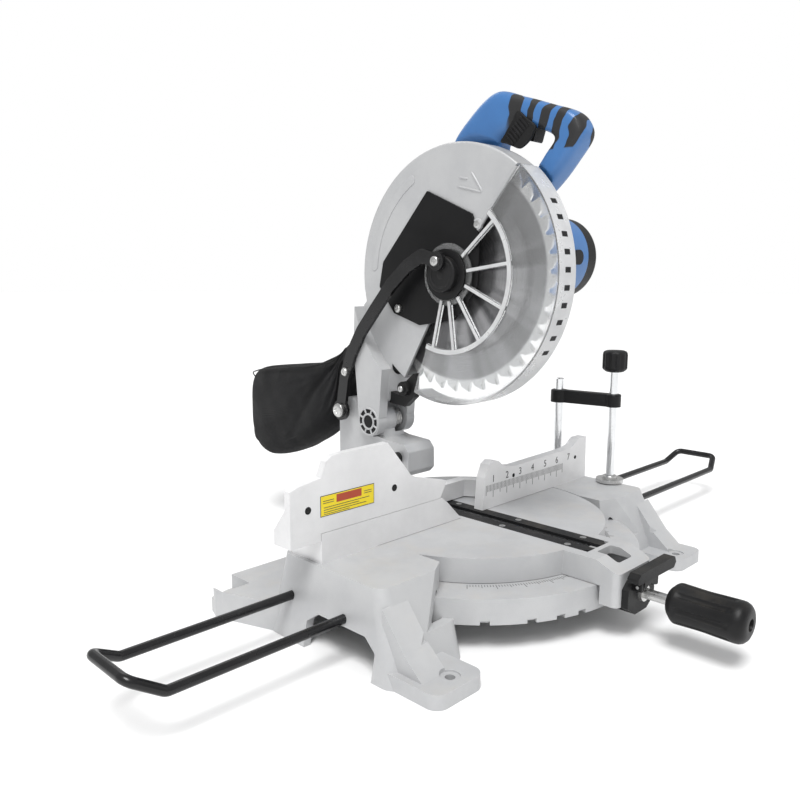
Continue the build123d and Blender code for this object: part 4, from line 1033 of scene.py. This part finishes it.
def roundBoss(centre, radius, height, inner=0.0):
    # a short turned boss with an eased rim, standing towards -X
    ease = min(0.8, height / 2)
    profile = [(0, inner), (0, radius), (height - ease, radius), (height - 0.3 * ease, radius - 0.3 * ease),
               (height, radius - ease), (height, inner)]
    return lathe(profile + profile[:1] * (inner > 0), centre, (-1, 0, 0), 40)


def capsulePad():
    # a ring sector with round ends: its half width falls to nothing at each end like a half circle
    inner, outer = detailLook["padRadius"]
    half, middle = (outer - inner) / 2, (inner + outer) / 2
    start, end = np.radians(detailLook["padSpan"])
    s = np.linspace(0, 1, 70)
    t = start + (end - start) * s
    reach = np.minimum(s, 1 - s) * (end - start) * middle
    width = half * np.sqrt(np.clip(1 - (1 - np.clip(reach / half, 0, 1)) ** 2, 0.0004, 1))
    rows = []
    for sign, lift in ((-1, -0.2), (-1, 0.5), (-0.86, 0.8), (0.86, 0.8), (1, 0.5), (1, -0.2)):
        radius = middle + sign * width
        rows.append(np.column_stack([np.full(70, sawPlaces["caseLeft"] - lift),
                                     sawPlaces["arbor"][0] + radius * np.cos(t),
                                     sawPlaces["arbor"][1] + radius * np.sin(t)]))
    grid = np.stack(rows, axis=1)
    ends = [np.broadcast_to(grid[k].mean(0), (1, 6, 3)) for k in (0, -1)]
    return surface(np.concatenate([ends[0], grid, ends[1]]), wrapColumns=True)


def frontLip():
    # the case's front edge is folded into a rounded lip from the rim towards the centre
    r = np.linspace(57, 133.5, 30)
    a = math.radians(128.6)
    path = np.column_stack([np.full(30, -13.9), sawPlaces["arbor"][0] + r * math.cos(a),
                            sawPlaces["arbor"][1] + r * math.sin(a)])
    return tubeAlong(path, 2.2, 12)


bossY, bossZ = detailLook["boss"]
makePiece("caseRelief", combine([caseArrow(), capsulePad(), frontLip(),
                                 roundBoss((sawPlaces["caseLeft"] + 1, bossY, bossZ), 6.2, 3.0)]),
          finishes["castPaint"], "head")
makePiece("caseBossScrew", screwHead((sawPlaces["caseLeft"] - 1.8, bossY, bossZ), (-1, 0, 0), 4.0, 1.0),
          finishes["zincSteel"], "head")


def earRing():
    # a recess on the head's left ear with a hub ring and bars across it; the dark disc at its bottom is
    # painted shade
    y0, z0 = sawPlaces["pivot"]
    inner, outer = detailLook["earRing"]
    dark = roundBoss((-29.9, y0, z0), outer, 0.4)
    wide = [(0, outer - 0.2), (0, outer + 2.0), (1.0, outer + 1.6), (1.3, outer + 0.7), (0.9, outer - 0.2),
            (0, outer - 0.2)]
    small = [(0, inner - 1.0), (0, inner + 1.6), (1.2, inner + 1.3), (1.2, inner - 0.7), (0, inner - 1.0)]
    rings = [lathe(profile, (-30, y0, z0), (-1, 0, 0), 48) for profile in (wide, small)]
    for k in range(detailLook["earSegments"]):
        bar = block((-30.6, (inner + outer) / 2 + 0.8, 0), (1.2, outer - inner, 2.2), corner=0.3)
        rings.append(aboutX(bar, sawPlaces["pivot"], 360 * (k + 0.5) / detailLook["earSegments"]))
    return dark, combine(rings)


recessShadeDisc, lightRing = earRing()
# painted shade: a dark disc in the ear's recess, seen between the ring's bars
makePiece("earRecessShade", recessShadeDisc, finishes["kerfPlastic"], "head")
makePiece("earRing", lightRing, finishes["castPaint"], "head")

plugLook = {                       # x, z, radius
    "slidingFence": [(-236, 129, 3.5), (-128, 129, 3.5)],
    "rightFence": [(67.5, 105.8, 2.4), (198.3, 105.8, 2.4)],
}


def frontPlug(x, z, radius):
    # a dark screw head sunk in a fence hole, facing the operator
    profile = [(0, 0), (0, radius), (0.5, radius), (0.8, radius - 0.5), (0.8, 1.3), (0.2, 1.1), (0.2, 0)]
    return lathe(profile, (x, sawPlaces["fenceFront"] + 0.4, z), (0, -1, 0), 32)


makePiece("slidingFenceScrews", combine([frontPlug(*plug) for plug in plugLook["slidingFence"]]),
          finishes["kerfPlastic"], "slide_fence")
makePiece("rightFenceScrews", combine([frontPlug(*plug) for plug in plugLook["rightFence"]]),
          finishes["kerfPlastic"], "base")

# bolts and stops
boltLook = {
    "bumper": (84, 206),           # (y, z), mm
    "crankRadius": 14.0, "crankAngle": 80.0,
    "linkLower": [(-37.6, 163.6, 220.0, 4.6, 1.6), (-40.0, 174, 172, 7.4, 1.6)],   # x, y, z, radius, height
    "cover": [(-19.9, 91.5, 297.5, 4.2, 1.3), (-19.9, 135, 290, 4.2, 1.3)],
    "hubX": -30.4, "hubRings": [(15.0, 12.8), (5.0, 0.0)],                          # outer, inner radius
}
bumperRounds = [roundBoss((x, *boltLook["bumper"]), radius, height)
                for x, radius, height in ((-12.5, 8.2, 7.0), (-19.0, 5.6, 3.0))]
makePiece("bumperStop", combine(bumperRounds), finishes["blackPlastic"], "head")
makePiece("bumperScrew", screwHead((-21.8, *boltLook["bumper"]), (-1, 0, 0), 3.6, 1.6, lobes=6),
          finishes["zincSteel"], "head")


def panHeads(name, body, heads):
    # pan heads on the saw's left side; each is (x, y, z, radius, height)
    shapes = [screwHead(head[:3], (-1, 0, 0), *head[3:], "pan") for head in heads]
    makePiece(name, combine(shapes), finishes["zincSteel"], body)


arborY, arborZ = sawPlaces["arbor"]
crankAngle = math.radians(boltLook["crankAngle"])
crankY = arborY + boltLook["crankRadius"] * math.cos(crankAngle)
crankZ = arborZ + boltLook["crankRadius"] * math.sin(crankAngle)
panHeads("linkScrewHeads", "link", [(-37.6, crankY, crankZ, 5.2, 1.9)])
panHeads("linkLowerHeads", "link", boltLook["linkLower"])
panHeads("coverScrewHeads", "head", boltLook["cover"])
hubRings = [roundBoss((boltLook["hubX"], arborY, arborZ), radius, 0.4, inner)
            for radius, inner in boltLook["hubRings"]]
makePiece("hubFace", combine(hubRings), finishes["blackPlastic"], "guard")
print("castings' detail made")

# camera, lights and floor
viewLook = {
    "place": (-0.65353, -0.54013, 0.33640),   # metres
    "turn": 45.312,                           # degrees from +Y towards +X
    "tilt": 9.161,                            # degrees down
    "roll": 0.185,
    "lens": 35.165,
    "worldGrey": 1.0, "worldStrength": 0.58, "backdropStrength": 1.0,
    "floorGrey": (0.93, 0.93, 0.93),
    "sunStrength": 2.3, "sunSoftness": 24.0,  # degrees across
    "sunAhead": (0.55, 0.35, -1.35),          # the way its light travels
    "lamps": [("key", (-1.5, -1.1, 1.9), (0.0, 0.0, 0.2), 0.9, 9.0),      # place, target, size, watts
              ("fill", (1.6, -1.4, 1.1), (0.05, 0.0, 0.2), 1.6, 2.0),
              ("rim", (0.6, 1.7, 1.8), (0.0, 0.1, 0.3), 1.2, 5.0)],
    "floorRadius": 14.0,
}


def aimCamera():
    # columns of the camera's matrix: its right, its up and the way back from what it looks at
    turn, tilt, roll = (math.radians(viewLook[k]) for k in ("turn", "tilt", "roll"))
    ahead = Vector((math.sin(turn) * math.cos(tilt), math.cos(turn) * math.cos(tilt), -math.sin(tilt)))
    right = Vector((math.cos(turn), -math.sin(turn), 0.0))
    up = Vector((math.sin(turn) * math.sin(tilt), math.cos(turn) * math.sin(tilt), math.cos(tilt)))
    rolledRight = math.cos(roll) * right + math.sin(roll) * up
    rolledUp = math.cos(roll) * up - math.sin(roll) * right
    camera = bpy.data.objects.new("camera", bpy.data.cameras.new("camera"))
    camera.data.lens = viewLook["lens"]
    camera.data.sensor_width = 36.0
    camera.data.clip_start = 0.01
    turnMatrix = Matrix((rolledRight, rolledUp, -ahead)).transposed().to_4x4()
    camera.matrix_world = Matrix.Translation(viewLook["place"]) @ turnMatrix
    bpy.context.scene.collection.objects.link(camera)
    bpy.context.scene.camera = camera


def softLight(name, place, target, size, power):
    light = bpy.data.lights.new(name, "AREA")
    light.shape = "DISK"
    light.size = size
    light.energy = power
    lamp = bpy.data.objects.new(name, light)
    lamp.location = place
    lamp.rotation_euler = (Vector(target) - Vector(place)).to_track_quat("-Z", "Y").to_euler()
    bpy.context.scene.collection.objects.link(lamp)


def makeFloor():
    # a flat disc in polar rings: radius grows with the square of the row, angle with the column
    ring = np.linspace(0, 1, 24)[:, None] ** 2 * viewLook["floorRadius"]
    t = np.linspace(0, 2 * np.pi, 96, endpoint=False)[None, :]
    grid = np.dstack(np.broadcast_arrays(ring * np.cos(t), ring * np.sin(t), np.full_like(ring, -0.0002)))
    points, faces = surface(grid, wrapColumns=True)
    mesh = bpy.data.meshes.new("floor")
    mesh.from_pydata(points.tolist(), [], faces.tolist())
    floor = bpy.data.objects.new("floor", mesh)
    material, tree, shader = startMaterial("floorPaint", Roughness=0.75)
    place = objectPlace(tree)
    tone = noiseNode(tree, place, 3.0, 3.0)
    grey = viewLook["floorGrey"]
    colourNow = colourMix(tree, tone, grey, tuple(0.97 * g for g in grey))
    tree.links.new(colourNow, shader.inputs["Base Color"])
    mesh.materials.append(material)
    bpy.context.scene.collection.objects.link(floor)


def lightWorld():
    world = bpy.data.worlds.new("studio")
    world.use_nodes = True
    grey = viewLook["worldGrey"]
    tree = world.node_tree
    around = tree.nodes["Background"]                # what lights the saw
    behind = tree.nodes.new("ShaderNodeBackground")  # what stands behind it
    for node, strength in ((around, viewLook["worldStrength"]), (behind, viewLook["backdropStrength"])):
        node.inputs["Color"].default_value = (grey, grey, grey, 1.0)
        node.inputs["Strength"].default_value = strength
    path = tree.nodes.new("ShaderNodeLightPath")
    mix = tree.nodes.new("ShaderNodeMixShader")
    tree.links.new(path.outputs["Is Camera Ray"], mix.inputs[0])
    tree.links.new(around.outputs[0], mix.inputs[1])
    tree.links.new(behind.outputs[0], mix.inputs[2])
    tree.links.new(mix.outputs[0], tree.nodes["World Output"].inputs["Surface"])
    bpy.context.scene.world = world
    bpy.context.scene.view_settings.view_transform = "Standard"


def makeSun():
    sun = bpy.data.lights.new("sun", "SUN")
    sun.energy = viewLook["sunStrength"]
    sun.angle = math.radians(viewLook["sunSoftness"])
    lamp = bpy.data.objects.new("sun", sun)
    lamp.rotation_euler = Vector(viewLook["sunAhead"]).to_track_quat("-Z", "Y").to_euler()
    bpy.context.scene.collection.objects.link(lamp)


aimCamera()
makeSun()
lightWorld()
makeFloor()
for lamp in viewLook["lamps"]:
    softLight(*lamp)
print("camera, lights and floor ready")
